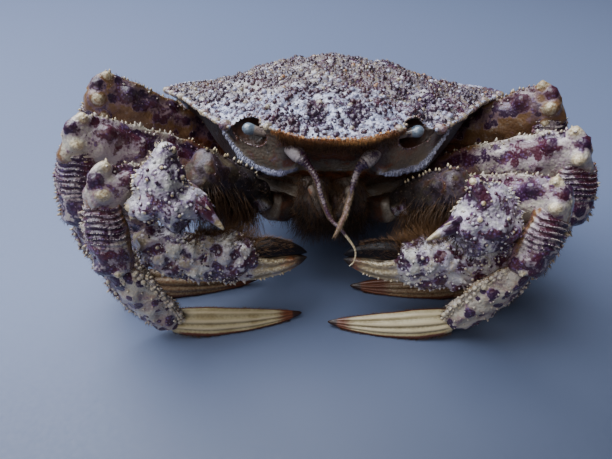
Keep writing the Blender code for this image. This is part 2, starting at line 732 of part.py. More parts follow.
def leg_thorns(kind, segment, side, number):
    """Spines and bosses of one piece of a leg."""
    draw = random.Random(f"{side} {number} {kind}")
    front = 180 if side == "right" else 0
    size = LEG_SCALE[number] * (1.0 if number < 3 else REAR_THORNS)
    pieces = []
    for degrees, first, last, count, height in LEG_THORNS[kind]:
        for k in range(count - (number == 3)):
            share = first + (last - first) * (k + 0.5) / count
            tall = height * size * draw.uniform(0.8, 1.2)
            turn = degrees + draw.uniform(-4, 4)
            pieces.append(segment.thorn(share, turn, tall, THORN_RADIUS * size, THORN_LEAN))
    if kind == "merus":
        for share, degrees, radius in KNEE_KNOBS:
            pieces.append(segment.knob(share, front + degrees * (1 if side == "left" else -1), radius * size))
    return pieces


def build_leg(side, number):
    """One walking leg: each piece is hollowed where the next one plugs into it."""
    segments = leg_segments(side, number)
    made = {}
    for kind, segment in segments.items():
        slot = "horn" if kind == "dactylus" else "leg"
        made[kind] = plain_object(f"{side}_leg_{number + 1}_{kind}", segment, slot)
        thorns = leg_thorns(kind, segment, side, number) if kind in LEG_THORNS else []
        if thorns:
            fuse(made[kind], thorns)
    for kind, following in zip(PIECES_OF_LEG, PIECES_OF_LEG[1:]):
        cut(made[kind], segments[following].skin(GAP))
    return made


def claw_thorns(kind, segment, side):
    """Spines of one piece of a claw. Angles run from its front towards its lower edge."""
    draw = random.Random(f"{side} {kind}")
    pieces = []
    for degrees, first, last, count, height, radius in CLAW_THORNS[kind]:
        for k in range(count):
            share = first + (last - first) * (k + 0.5) / count
            turn = degrees + draw.uniform(-5, 5)
            if side == "left":
                turn = 180 - turn
            tall = height * draw.uniform(0.8, 1.2)
            pieces.append(segment.thorn(share, turn, tall, radius, 0.25))
    if kind == "wrist":
        angles, height, lean = FRINGE
        for degrees in angles:
            turn = degrees if side == "right" else 180 - degrees
            pieces.append(segment.thorn(0.9, turn, height * draw.uniform(0.85, 1.2), 0.8, lean))
    return pieces


def build_claw(side):
    """One claw: arm, wrist, palm with its fixed finger, and the moving finger."""
    segments = claw_segments(side)
    arm = plain_object(f"{side}_claw_arm", segments["arm"], "claw")
    wrist = plain_object(f"{side}_claw_wrist", segments["wrist"], "claw")
    palm = plain_object(f"{side}_claw_palm", segments["palm"], "claw")
    plain_object(f"{side}_claw_finger", segments["finger"], "finger")
    tip = Vector(CLAW_JOINTS[side]["spine"])
    root = segments["wrist"].centre(0.62).lerp(tip, 0.28)
    fuse(arm, claw_thorns("arm", segments["arm"], side))
    fuse(wrist, [cone(root, tip, CLAW_BASE, 7), *claw_thorns("wrist", segments["wrist"], side)])
    palm_thorns = claw_thorns("palm", segments["palm"], side) + claw_thorns("fixed", segments["fixed"], side)
    fuse(palm, [segments["fixed"].skin(), *palm_thorns])
    cut(palm, segments["finger"].skin(GAP))
    cut(arm, segments["wrist"].skin(GAP))
    cut(wrist, segments["palm"].skin(GAP))


def build_chest():
    """The chest under the shell, with a short hip for each limb."""
    chest = add_object("chest", loft(chest_rings()), "under")
    hips = []
    for side in SIDES:
        limbs = [leg_segments(side, number)["merus"] for number in range(4)]
        limbs.append(claw_segments(side)["arm"])
        for limb in limbs:
            inner = limb.start - limb.along * HIP_LENGTH
            outer = limb.start - limb.along * GAP
            hip = Segment(limb.kind, inner, outer, limb.crest, 1.0, ROUND)
            hip.half_width, hip.half_height = limb.size_at(0)
            hip.stations = HIP_STATIONS
            hips.append(hip.skin())
    fuse(chest, hips)
    return chest


def build_tail():
    """The tail, folded flat under the chest and rising behind it to the rear of the shell."""
    rings = []
    for y, half_width, thickness, rise in TAIL_SECTIONS:
        ring = []
        roof = under_plane(y) - CHEST_DEPTH - thickness / 2 - GAP + rise
        for k in range(PLATE_SIDES):
            turn = math.tau * k / PLATE_SIDES
            ring.append(on_body((half_width * math.cos(turn), y, roof + math.sin(turn) * thickness / 2)) * MM)
        rings.append(ring)
    return add_object("tail", loft(rings), "under")


def jaw_skin(sign, grow=0.0):
    """The plate of one jaw foot, which closes half of the mouth."""
    rings = []
    for z, inner, outer, y, thick in JAW_SECTIONS:
        end_step = grow if z == JAW_SECTIONS[0][0] else -grow if z == JAW_SECTIONS[-1][0] else 0.0
        ring = []
        for k in range(PLATE_SIDES):
            turn = math.tau * k / PLATE_SIDES
            x = (inner + outer) / 2 + ((outer - inner) / 2 + grow) * math.cos(turn)
            ring.append(on_body((sign * x, y + (thick / 2 + grow) * math.sin(turn), z + end_step)) * MM)
        rings.append(ring)
    return loft(rings)


def build_mouth(side):
    """One jaw foot."""
    return add_object(f"{side}_jaw_foot", jaw_skin(SIDES[side]), "under")


def in_socket(sign, offset):
    """A point so far from the middle of an eye socket, outwards, back and up."""
    x, y, z = Vector(ORBIT) + Vector(offset)
    return on_body((sign * x, y, z))


def stalk_segment(sign):
    """The stalk that carries an eye, out of the inner wall of its socket."""
    stalk = Segment("claw", in_socket(sign, STALK_ROOT), in_socket(sign, STALK_TIP), (0, 0, 1), STALK_SCALE)
    stalk.stations = STALK_STATIONS
    return stalk


def build_eye(side):
    """One eye on its stalk, lying out along its socket."""
    sign = SIDES[side]
    eye = add_object(f"{side}_eye", ball(in_socket(sign, EYE_PLACE), EYE_SIZE, 10), "eye")
    fuse(eye, [stalk_segment(sign).skin()])
    return eye


def feeler_skin(side, grow=0.0):
    """The skin of one long feeler, from its root to its tip."""
    path = smooth_path(FEELERS[side], FEELER_STEPS)
    radii = smooth_path([(r, 0, 0) for r in FEELER_SIZES[side]], FEELER_STEPS)
    path[0] = path[0] + (path[0] - path[1]).normalized() * grow
    rings = []
    for index, centre in enumerate(path):
        ahead = path[min(index + 1, len(path) - 1)] - path[max(index - 1, 0)]
        frame = ahead.to_track_quat("Z", "Y").to_matrix()
        radius = radii[index].x + grow
        turns = [math.tau * k / FEELER_SIDES for k in range(FEELER_SIDES)]
        rings.append([
            (centre + frame @ Vector((math.cos(turn), math.sin(turn), 0)) * radius) * MM for turn in turns
        ])
    return loft(rings)


def build_feeler(side):
    """One long feeler, hanging before the mouth."""
    return add_object(f"{side}_feeler", feeler_skin(side), "feeler")


def centre_on_base():
    """Moves everything so that the origin is under the middle of the whole, on the floor."""
    shown = [obj for obj in bpy.data.objects if obj.type == "MESH"]
    corners = [vertex.co for obj in shown for vertex in obj.data.vertices]
    middle = [(min(c[axis] for c in corners) + max(c[axis] for c in corners)) / 2 for axis in (0, 1)]
    shift = Matrix.Translation((-middle[0], -middle[1], 0))
    for obj in shown:
        obj.data.transform(shift)
    return shift.translation


def main():
    for obj in list(bpy.data.objects):
        bpy.data.objects.remove(obj)
    build_shell()
    build_chest()
    build_tail()
    for side in SIDES:
        build_mouth(side)
        build_eye(side)
        build_feeler(side)
        build_claw(side)
        for number in range(4):
            for kind, obj in build_leg(side, number).items():
                if kind == "dactylus":
                    cut_at_floor(obj)
    return centre_on_base()


MOVED = main()
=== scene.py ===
import logging
import math
from dataclasses import dataclass
from enum import Enum
from typing import Any, Sequence

import bmesh
import bpy
import numpy as np
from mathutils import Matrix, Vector, kdtree


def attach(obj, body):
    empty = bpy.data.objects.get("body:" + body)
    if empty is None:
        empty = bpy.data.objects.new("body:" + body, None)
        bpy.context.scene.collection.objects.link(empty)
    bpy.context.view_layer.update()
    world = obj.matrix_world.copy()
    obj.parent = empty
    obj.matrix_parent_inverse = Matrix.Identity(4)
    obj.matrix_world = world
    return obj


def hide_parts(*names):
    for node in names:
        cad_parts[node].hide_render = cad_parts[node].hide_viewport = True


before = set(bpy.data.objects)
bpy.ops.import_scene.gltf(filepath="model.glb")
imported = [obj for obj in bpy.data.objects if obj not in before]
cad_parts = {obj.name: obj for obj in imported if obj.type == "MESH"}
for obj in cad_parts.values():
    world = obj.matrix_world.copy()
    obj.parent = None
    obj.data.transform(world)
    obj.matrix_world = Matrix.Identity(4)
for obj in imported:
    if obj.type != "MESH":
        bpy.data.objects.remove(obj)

LOG = logging.getLogger("helmet_crab")
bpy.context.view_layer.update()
MM = 0.001
HOME = np.array((2.242, 6.142, 0.0))  # where the crab's own middle stands in the frame, in millimetres
BODY_X = 0.7  # where the body's middle stands across the crab, in millimetres
GOLDEN_TURN = 0.381966  # spreads points evenly over a round surface
BAKE_PATCH = 0.003  # how much of the bake picture one small shape takes

Colour = tuple[float, float, float]
Place = tuple[float, float, float]
Marks = tuple[tuple[float, float, float], ...]
Array = np.ndarray


class Side(Enum):
    """Which half of the crab a limb belongs to, with the sign of its X."""

    RIGHT = -1
    LEFT = 1

    @property
    def word(self) -> str:
        """The side's name as the nodes have it."""
        return self.name.lower()


class Slot(Enum):
    """The record's material slots."""

    SHELL = "shell"
    UNDERSIDE = "underside"
    MOUTHPARTS = "mouthparts"
    EYE = "eye"
    FEELER = "feeler"
    DARK_FINGER = "dark_finger"
    CLAW = "claw"
    TOE = "toe"
    LEG = "leg"


class Paint(Enum):
    """What a point is painted with: shares of purple, amber, cream, and a dark share for dirt and painted
    shade.
    """

    BARE = (0.0, 0.0, 0.0, 0.0)
    PURPLE = (1.0, 0.0, 0.0, 0.0)
    PLUM = (0.75, 0.0, 0.0, 0.15)
    AMBER = (0.0, 1.0, 0.0, 0.0)
    CREAM = (0.0, 0.0, 1.0, 0.0)
    TAN = (0.0, 0.6, 0.5, 0.0)
    RUST = (0.35, 0.9, 0.0, 0.1)
    SHADE = (0.0, 1.0, 0.0, 0.75)

    @property
    def row(self) -> Array:
        """The shares as an array."""
        return np.array(self.value, float)


PURPLE, AMBER, CREAM, DIRT_AND_SHADE = range(4)


def ease(low: float, high: float, value: Any) -> Any:
    """A smooth step from 0 at low to 1 at high."""
    share = np.clip((value - low) / (high - low), 0.0, 1.0)
    return share * share * (3 - 2 * share)


def bell(value: Any, width: float) -> Any:
    """1 at 0, falling off to both sides over a width."""
    return np.exp(-(value / width) ** 2)


def rounded(near_end: Array, least: float = 0.01) -> Array:
    """How far a rounded end has opened, at shares of its depth."""
    return np.sqrt(1 - (1 - np.clip(near_end, least, 1)) ** 2)


def steps_to_end(count: int) -> Array:
    """How many steps each of a row of points is from the nearer end."""
    return np.minimum(np.arange(count), np.arange(count)[::-1])


def turns_of(sides: int) -> Array:
    """The angles of so many points round a ring, in radians."""
    return np.arange(sides) * math.tau / sides


def squashed(turns: Array, power: float) -> tuple[Array, Array]:
    """Points round an oval: with a power of 2 an ellipse, below it with sharper edges."""
    cosine, sine = np.cos(turns), np.sin(turns)
    return np.sign(cosine) * np.abs(cosine) ** (2 / power), np.sign(sine) * np.abs(sine) ** (2 / power)


def unit(vectors: Array) -> Array:
    """The same directions, each of length one."""
    return vectors / np.maximum(np.linalg.norm(vectors, axis=-1, keepdims=True), 1e-9)


def curve_points(corners: Sequence[Sequence[float]], steps: int, closed: bool = False) -> Array:
    """Points of a Catmull-Rom curve.

    Args:
        corners: The points that it runs through.
        steps: How many points it has from one corner to the next.
        closed: Whether it runs back to its first corner.

    Returns:
        The points, one row each.
    """
    given = np.array(corners, float)
    if closed:
        padded = np.vstack([given[-1:], given, given[:2]])
    else:
        padded = np.vstack([2 * given[0] - given[1], given, 2 * given[-1] - given[-2]])
    shares = (np.arange(steps) / steps)[:, None]
    points = []
    for before, first, second, after in zip(padded, padded[1:], padded[2:], padded[3:]):
        slope = second - before
        bend = 2 * before - 5 * first + 4 * second - after
        twist = 3 * first - before - 3 * second + after
        points.append(0.5 * (2 * first + slope * shares + bend * shares ** 2 + twist * shares ** 3))
    if not closed:
        points.append(given[-1:])
    return np.vstack(points)


def travelled(line: Array) -> Array:
    """How far along a line each of its points is."""
    return np.concatenate([[0.0], np.cumsum(np.linalg.norm(np.diff(line[:, :3], axis=0), axis=1))])


def evenly(points: Array, count: int, closed: bool = False) -> Array:
    """The same line with so many evenly spaced points.

    Args:
        points: The corners of the line.
        count: How many points are wanted.
        closed: Whether the end joins the start.

    Returns:
        The new points.
    """
    line = np.vstack([points, points[:1]]) if closed else points
    reach = travelled(line)
    wanted = np.linspace(0.0, reach[-1], count + 1)[:-1] if closed else np.linspace(0.0, reach[-1], count)
    return np.stack([np.interp(wanted, reach, column) for column in line.T], axis=1)


def above_floor(points: Array) -> Array:
    """The same points, those under 0.4 mm of height squeezed so that none is below the floor.

    Args:
        points: Points in millimetres.

    Returns:
        The moved points.
    """
    low = 0.4
    height = points[..., 2]
    squeezed = low * np.exp(np.minimum(height, low) / low - 1)
    return np.concatenate([points[..., :2], np.where(height < low, squeezed, height)[..., None]], axis=-1)


def lumpy(points: Array, size: float, seed: int) -> Array:
    """Smooth random swelling, mostly between -1 and 1, with lumps so many millimetres across.

    Args:
        points: Where the swelling is read.
        size: How far across a lump is.
        seed: Picks the pattern.

    Returns:
        One value for each point.
    """
    draw = np.random.default_rng(seed)
    waves = unit(draw.normal(size=(12, 3))) * math.pi / size * draw.uniform(0.7, 1.5, (12, 1))
    return np.sin(points @ waves.T + draw.uniform(0, math.tau, 12)).sum(axis=-1) / 3.5


def tube(
    line: Array, ahead: Array, aside: Sequence[float], radii: Array, sides: int, squash: float = 1.0
) -> Array:
    """Rings of points round a line.

    Args:
        line: The middles of the rings.
        ahead: Which way the line runs at each.
        aside: A direction that the first point of each ring is square to.
        radii: The rings' radii.
        sides: How many points each has.
        squash: The second half width of a ring, as a share of the first.

    Returns:
        The rings.
    """
    across = unit(np.cross(ahead, aside))
    other = np.cross(ahead, across) * squash
    turns = turns_of(sides)
    circle = across[:, None] * np.cos(turns)[None, :, None] + other[:, None] * np.sin(turns)[None, :, None]
    return line[:, None] + circle * radii[:, None, None]


def turned(points: Array, degrees: float) -> Array:
    """The same points turned about the vertical.

    Args:
        points: Points in rows.
        degrees: The turn.

    Returns:
        The turned points.
    """
    angle = math.radians(degrees)
    return points @ np.array((
        (math.cos(angle), math.sin(angle), 0), (-math.sin(angle), math.cos(angle), 0), (0, 0, 1)
    ))


def tree_of(points: Array) -> kdtree.KDTree:
    """A tree that finds the nearest of some points.

    Args:
        points: Points in rows.

    Returns:
        The tree, ready for use.
    """
    tree = kdtree.KDTree(len(points))
    for index, place in enumerate(points):
        tree.insert(place, index)
    tree.balance()
    return tree


class Shader:
    """The nodes of one material, and the way to add to them."""

    def __init__(self, name: str) -> None:
        """Starts a material whose shader is one Principled BSDF.

        Args:
            name: The name of the material.
        """
        self.material = bpy.data.materials.new(name)
        self.material.use_nodes = True
        self.tree = self.material.node_tree
        self.surface = self.tree.nodes["Principled BSDF"]

    def node(self, kind: str, settings: dict[str, Any], sockets: dict[Any, Any]) -> bpy.types.Node:
        """Adds one node.

        Args:
            kind: The node's type.
            settings: Properties set first, such as an operation.
            sockets: Values or links of its inputs, by name or place.

        Returns:
            The node.
        """
        made = self.tree.nodes.new(kind)
        for name, value in settings.items():
            setattr(made, name, value)
        for name, value in sockets.items():
            self.feed(made.inputs[name], value)
        return made

    def feed(self, socket: bpy.types.NodeSocket, value: Any) -> None:
        """Sets a socket to a value, or links it to one.

        Args:
            socket: The input.
            value: A shader value, a socket, a number or a colour.
        """
        if isinstance(value, Value):
            self.tree.links.new(value.socket, socket)
        elif isinstance(value, bpy.types.NodeSocket):
            self.tree.links.new(value, socket)
        elif socket.type == "RGBA" and len(value) == 3:
            socket.default_value = (*value, 1.0)
        else:
            socket.default_value = value

    def value(self, socket: bpy.types.NodeSocket) -> "Value":
        """A socket that can be reckoned with."""
        return Value(self, socket)

    def where(self) -> bpy.types.NodeSocket:
        """The surface's own coordinates."""
        return self.node("ShaderNodeTexCoord", {}, {}).outputs["Object"]

    def noise(self, size: float, detail: float = 3.0, rough: float = 0.55, warp: float = 0.0) -> "Value":
        """Noise whose lumps are so many metres across.

        Args:
            size: How far across a lump is, in metres.
            detail: How many finer layers it has.
            rough: How strong the finer layers are.
            warp: How much it is distorted.

        Returns:
            The noise, from 0 to 1.
        """
        sockets = {
            "Vector": self.where(), "Scale": 1 / size, "Detail": detail, "Roughness": rough,
            "Distortion": warp,
        }
        return self.value(self.node("ShaderNodeTexNoise", {}, sockets).outputs["Fac"])

    def place(self) -> tuple["Value", "Value"]:
        """The surface's own X and Y."""
        parts = self.node("ShaderNodeSeparateXYZ", {}, {"Vector": self.where()})
        return self.value(parts.outputs["X"]), self.value(parts.outputs["Y"])

    def cells(self, size: float) -> "Value":
        """Distance to the nearest of points so many metres apart, in their own spacing."""
        made = self.node("ShaderNodeTexVoronoi", {}, {"Vector": self.where(), "Scale": 1 / size})
        return self.value(made.outputs["Distance"])

    def painted(self) -> tuple["Value", "Value", "Value", "Value"]:
        """The four shares of the paint attribute.

        Returns:
            Purple, amber, cream, and dirt with painted shade.
        """
        read = self.node("ShaderNodeAttribute", {"attribute_name": "paint"}, {})
        parts = self.node("ShaderNodeSeparateColor", {}, {"Color": read.outputs["Color"]})
        channels = [self.value(parts.outputs[name]) for name in ("Red", "Green", "Blue")]
        return channels[0], channels[1], channels[2], self.value(read.outputs["Alpha"])

    def mix(self, share: Any, first: Any, second: Any) -> bpy.types.NodeSocket:
        """A colour between two others."""
        made = self.node("ShaderNodeMix", {"data_type": "RGBA"}, {0: share, 6: first, 7: second})
        return made.outputs[2]

    def bump(self, height: "Value", depth: float, strength: float) -> bpy.types.NodeSocket:
        """A bumpy normal, with heights from 0 to 1 standing for a depth in metres."""
        sockets = {"Height": height, "Distance": depth, "Strength": strength}
        return self.node("ShaderNodeBump", {}, sockets).outputs["Normal"]

    def finish(self, **sockets: Any) -> bpy.types.Material:
        """Feeds the surface shader, whose inputs are named with underscores for spaces.

        Args:
            sockets: The value of each input.

        Returns:
            The material.
        """
        for name, value in sockets.items():
            self.feed(self.surface.inputs[name.replace("_", " ")], value)
        return self.material


class Value:
    """A shader socket that takes part in sums."""

    def __init__(self, shader: Shader, socket: bpy.types.NodeSocket) -> None:
        """Wraps the socket of a shader's node."""
        self.shader = shader
        self.socket = socket

    def _sum(self, operation: str, first: Any, second: Any) -> "Value":
        """A sum of two values."""
        made = self.shader.node("ShaderNodeMath", {"operation": operation}, {0: first, 1: second})
        return Value(self.shader, made.outputs[0])

    def __add__(self, other: Any) -> "Value":
        """This value and another."""
        return self._sum("ADD", self, other)

    def __sub__(self, other: Any) -> "Value":
        """This value less another."""
        return self._sum("SUBTRACT", self, other)

    def __rsub__(self, other: Any) -> "Value":
        """Another value less this."""
        return self._sum("SUBTRACT", other, self)

    def __mul__(self, other: Any) -> "Value":
        """This value times another."""
        return self._sum("MULTIPLY", self, other)

    def step(self, edge: float, width: float) -> "Value":
        """0 below an edge and 1 above it, over a width.

        Args:
            edge: The middle of the step.
            width: How wide the step is.

        Returns:
            The stepped value.
        """
        settings = {"interpolation_type": "SMOOTHSTEP"}
        sockets = {"Value": self, "From Min": edge - width / 2, "From Max": edge + width / 2}
        made = self.shader.node("ShaderNodeMapRange", settings, sockets)
        return Value(self.shader, made.outputs["Result"])


@dataclass(frozen=True)
class Chitin:
    """Hard skin: a pale ground with marks of purple, amber and cream where it is painted so, a lighter
    violet on its grains that is partly a painted highlight, and near black where dirt and painted shade are
    painted.
    """

    name: str
    ground: Colour
    ground_blue: Colour
    dull: Colour = (0.22, 0.17, 0.13)
    purple: Colour = (0.018, 0.008, 0.042)
    maroon: Colour = (0.060, 0.010, 0.030)
    violet: Colour = (0.15, 0.090, 0.34)
    haze: Colour = (0.30, 0.25, 0.24)
    amber: Colour = (0.075, 0.018, 0.007)
    amber_light: Colour = (0.31, 0.092, 0.026)
    cream: Colour = (0.46, 0.33, 0.16)
    cream_light: Colour = (0.78, 0.70, 0.50)
    # the near black of dirt and of painted shade
    dirt: Colour = (0.010, 0.006, 0.005)
    roughness: float = 0.34
    coat: float = 0.55
    grain: float = 0.0007
    blotch: float = 0.0036
    relief: float = 0.00035
    marbling: float = 1.2
    speckle: float = 0.4

    def make(self) -> bpy.types.Material:
        """Builds the material.

        Returns:
            The material.
        """
        shader = Shader(self.name)
        fine = shader.noise(self.grain, 3.0, 0.65)
        marble = shader.noise(self.blotch, 3.0, 0.5, 0.6)
        broad = shader.noise(self.blotch * 3, 2.0)
        grains = 1 - shader.cells(self.grain * 1.2)
        purple, amber, cream, dirt = shader.painted()
        stain = purple + (marble - 0.5) * self.marbling + (fine - 0.5) * self.speckle
        stained = (stain + (grains - 0.55) * 0.25).step(0.5, 0.20)
        # Brown marks: the thing's own amber, and under the shell's margin partly painted shade.
        brown_and_shade = amber + (marble - 0.5) * 0.9 + (fine - 0.5) * 0.5
        creamy = (cream + (fine - 0.5) * 0.6 - stained * 0.3).step(0.5, 0.35)
        ground = shader.mix((broad + (fine - 0.5) * 0.6).step(0.52, 0.3), self.ground, self.ground_blue)
        ambers = shader.mix((marble + (fine - 0.5) * 0.4).step(0.5, 0.2), self.amber, self.amber_light)
        purples = shader.mix((broad + (marble - 0.5) * 0.6).step(0.52, 0.2), self.purple, self.maroon)
        # Lighter violet on the tops of grains and in random patches: partly a painted highlight, partly the
        # skin's own violet.
        violet_and_highlight = (grains * 0.5 + marble + (fine - 0.5) * 0.5).step(1.0, 0.35)
        purples = shader.mix(violet_and_highlight, purples, self.violet)
        creams = shader.mix(fine.step(0.5, 0.3), self.cream, self.cream_light)
        colour = shader.mix(brown_and_shade.step(0.32, 0.3), ground, self.dull)
        colour = shader.mix(brown_and_shade.step(0.74, 0.3), colour, ambers)
        colour = shader.mix(stain.step(0.36, 0.3) * 0.65, colour, self.haze)
        colour = shader.mix(stained, colour, purples)
        colour = shader.mix(creamy, colour, creams)
        # Near black where dirt and painted shade are painted.
        colour = shader.mix((dirt + (fine - 0.5) * 0.3 * dirt).step(0.5, 1.0), colour, self.dirt)
        return shader.finish(
            Base_Color=colour,
            Roughness=fine * 0.25 + (self.roughness - 0.1) + dirt * 0.3,
            Coat_Weight=(1 - dirt) * (broad * 0.5 + 0.6) * self.coat,
            Coat_Roughness=0.12,
            Normal=shader.bump(
                (grains * 0.7 + fine * 0.4 + marble * 0.4) * (1 - amber * 0.6), self.relief, 0.9
            ),
        )


@dataclass(frozen=True)
class Horn:
    """Horn of toes and fingers: straw or black, grooved along, rusty at its edges and tip."""

    name: str
    straw: Colour
    straw_dark: Colour
    rust: Colour
    tip: Colour
    roughness: float = 0.38
    coat: float = 0.3
    shine: float = 0.5
    grain: float = 0.0006

    def make(self) -> bpy.types.Material:
        """Builds the material.

        Returns:
            The material.
        """
        shader = Shader(self.name)
        fine = shader.noise(self.grain, 3.0, 0.6)
        broad = shader.noise(self.grain * 7, 3.0, 0.5, 0.4)
        deep, rusty, pale, dirt = shader.painted()
        colour = shader.mix((broad * 0.6 + fine * 0.4).step(0.5, 0.4), self.straw, self.straw_dark)
        colour = shader.mix((rusty + (fine - 0.5) * 0.5).step(0.5, 0.5), colour, self.rust)
        colour = shader.mix((deep + (fine - 0.5) * 0.4).step(0.5, 0.4), colour, self.tip)
        colour = shader.mix((pale + (fine - 0.5) * 0.5).step(0.5, 0.5), colour, (0.62, 0.52, 0.33))
        # Darker where dirt and painted shade are painted.
        colour = shader.mix(dirt * 0.85, colour, (0.03, 0.017, 0.010))
        return shader.finish(
            Base_Color=colour,
            Roughness=fine * 0.25 + (self.roughness - 0.1),
            Specular_IOR_Level=self.shine,
            Coat_Weight=(broad * 0.4 + 0.7) * self.coat,
            Coat_Roughness=0.15,
            Normal=shader.bump(fine * 0.7 + broad * 0.3, 0.00015, 0.6),
        )


@dataclass(frozen=True)
class Bristle:
    """Short stiff hairs, darker at their roots."""

    name: str
    root: Colour
    tip: Colour

    def make(self) -> bpy.types.Material:
        """Builds the material.

        Returns:
            The material.
        """
        shader = Shader(self.name)
        fine = shader.noise(0.0016, 2.0)
        _, lightness, _, _ = shader.painted()
        colour = shader.mix((lightness + (fine - 0.5) * 0.8).step(0.5, 0.9), self.root, self.tip)
        return shader.finish(Base_Color=colour, Roughness=0.45)


@dataclass(frozen=True)
class EyeGlass:
    """The clouded, faceted surface of an eye, and its spotted stalk."""

    name: str
    glass: Colour = (0.34, 0.42, 0.50)
    deep: Colour = (0.10, 0.13, 0.18)
    stalk: Colour = (0.30, 0.24, 0.20)
    spots: Colour = (0.05, 0.025, 0.04)

    def make(self) -> bpy.types.Material:
        """Builds the material.

        Returns:
            The material.
        """
        shader = Shader(self.name)
        broad = shader.noise(0.0012, 3.0)
        facets = shader.cells(0.00016)
        spotted, browned, _, _ = shader.painted()
        colour = shader.mix(broad.step(0.55, 0.4), self.glass, self.deep)
        colour = shader.mix(browned, colour, self.stalk)
        colour = shader.mix((spotted + (broad - 0.5) * 0.9).step(0.5, 0.2), colour, self.spots)
        return shader.finish(
            Base_Color=colour,
            Roughness=browned * 0.25 + 0.16,
            Coat_Weight=0.8,
            Coat_Roughness=0.06,
            Normal=shader.bump(facets, 0.00003, 0.3),
        )


@dataclass(frozen=True)
class PlainFloor:
    """A pale, smooth floor, painted darker towards the front and the right: painted shade where the light
    falls off.
    """

    name: str
    colour: Colour
    falloff: tuple[float, float] = (-0.065, 0.17)
    shares: tuple[float, float] = (0.25, 1.19)

    def make(self) -> bpy.types.Material:
        """Builds the material.

        Returns:
            The material.
        """
        shader = Shader(self.name)
        cloud = shader.noise(0.05, 3.0)
        fine = shader.noise(0.0012, 2.0)
        x, y = shader.place()
        near, far = (tuple(share * part for part in self.colour) for share in self.shares)
        # Painted shade: the floor's colour darkens towards the front and the right, with a cloudy edge.
        shade_drift = y - x * 0.3 + (cloud * 0.6 + fine * 0.4) * 0.012
        colour = shader.mix(shade_drift.step(*self.falloff), near, far)
        return shader.finish(Base_Color=colour, Roughness=fine * 0.2 + 0.45)


FINISHES = {
    finish.name: finish
    for finish in (
        Chitin(
            "shell_finish", (0.49, 0.52, 0.70), (0.27, 0.27, 0.41), dull=(0.29, 0.24, 0.19),
            purple=(0.045, 0.022, 0.052), maroon=(0.080, 0.028, 0.045), violet=(0.14, 0.10, 0.22),
            haze=(0.38, 0.37, 0.48), coat=0.9, roughness=0.24, relief=0.0005, marbling=1.7, speckle=0.8,
        ),
        Chitin(
            "claw_finish", (0.66, 0.65, 0.62), (0.46, 0.43, 0.51), dull=(0.36, 0.28, 0.16),
            purple=(0.050, 0.018, 0.055), maroon=(0.085, 0.020, 0.040), violet=(0.19, 0.13, 0.33),
            haze=(0.34, 0.25, 0.43), coat=0.7,
        ),
        Chitin(
            "leg_finish", (0.58, 0.54, 0.44), (0.44, 0.38, 0.39), dull=(0.25, 0.13, 0.055),
            purple=(0.045, 0.015, 0.052), maroon=(0.085, 0.018, 0.036), violet=(0.20, 0.12, 0.30),
            haze=(0.32, 0.22, 0.32), coat=0.6,
        ),
        Chitin("under_finish", (0.36, 0.33, 0.28), (0.24, 0.22, 0.20), coat=0.35, roughness=0.4),
        Chitin(
            "feeler_finish", (0.46, 0.42, 0.44), (0.34, 0.28, 0.36), dull=(0.24, 0.13, 0.12),
            purple=(0.040, 0.020, 0.060), maroon=(0.06, 0.02, 0.035), violet=(0.10, 0.06, 0.15),
            grain=0.0004, coat=0.4, relief=0.0001,
        ),
        Horn(
            "toe_finish", (0.56, 0.49, 0.30), (0.34, 0.27, 0.13), (0.17, 0.050, 0.020), (0.030, 0.012, 0.010)
        ),
        Horn(
            "finger_finish", (0.010, 0.007, 0.008), (0.005, 0.004, 0.006), (0.05, 0.022, 0.012),
            (0.006, 0.004, 0.005), roughness=0.45, coat=0.04, shine=0.25,
        ),
        Bristle("hair_finish", (0.022, 0.011, 0.007), (0.23, 0.115, 0.045)),
        Bristle("tan_hair_finish", (0.10, 0.055, 0.028), (0.42, 0.31, 0.18)),
        Bristle("amber_hair_finish", (0.16, 0.045, 0.014), (0.72, 0.36, 0.12)),
        EyeGlass("eye_finish", (0.20, 0.25, 0.31)),
        PlainFloor("floor_finish", (0.120, 0.154, 0.258)),
    )
}


def finish_named(name: str) -> bpy.types.Material:
    """The material of that name, made once."""
    return bpy.data.materials.get(name) or FINISHES[name].make()


def dressed(piece: bpy.types.Object, finish: str, slot: Slot, *nodes: str) -> bpy.types.Object:
    """Gives a piece its finish and its body.

    Args:
        piece: The object.
        finish: The name of its finish.
        slot: The record's slot; not used.
        nodes: CAD nodes that it stands for.

    Returns:
        The same object.
    """
    piece.data.materials.clear()
    piece.data.materials.append(finish_named(finish))
    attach(piece, "root")
    if nodes:
        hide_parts(*nodes)
    triangles = sum(len(face.vertices) - 2 for face in piece.data.polygons)
    LOG.info("%s: %d triangles", piece.name, triangles)
    return piece


def object_of(name: str, mesh: bpy.types.Mesh) -> bpy.types.Object:
    """An object of the scene that holds a mesh, smooth shaded.

    Args:
        name: The name of the object.
        mesh: Its mesh.

    Returns:
        The object.
    """
    mesh.shade_smooth()
    made = bpy.data.objects.new(name, mesh)
    bpy.context.scene.collection.objects.link(made)
    return made


@dataclass
class Spots:
    """Places on a skin where something grows."""

    points: Array
    normals: Array
    along: Array
    paint: Array
    patch: Array

    def keep(self, chosen: Array) -> "Spots":
        """Only those spots."""
        names = ("points", "normals", "along", "paint", "patch")
        return Spots(*(getattr(self, name)[chosen] for name in names))

    @property
    def count(self) -> int:
        """How many spots there are."""
        return len(self.points)


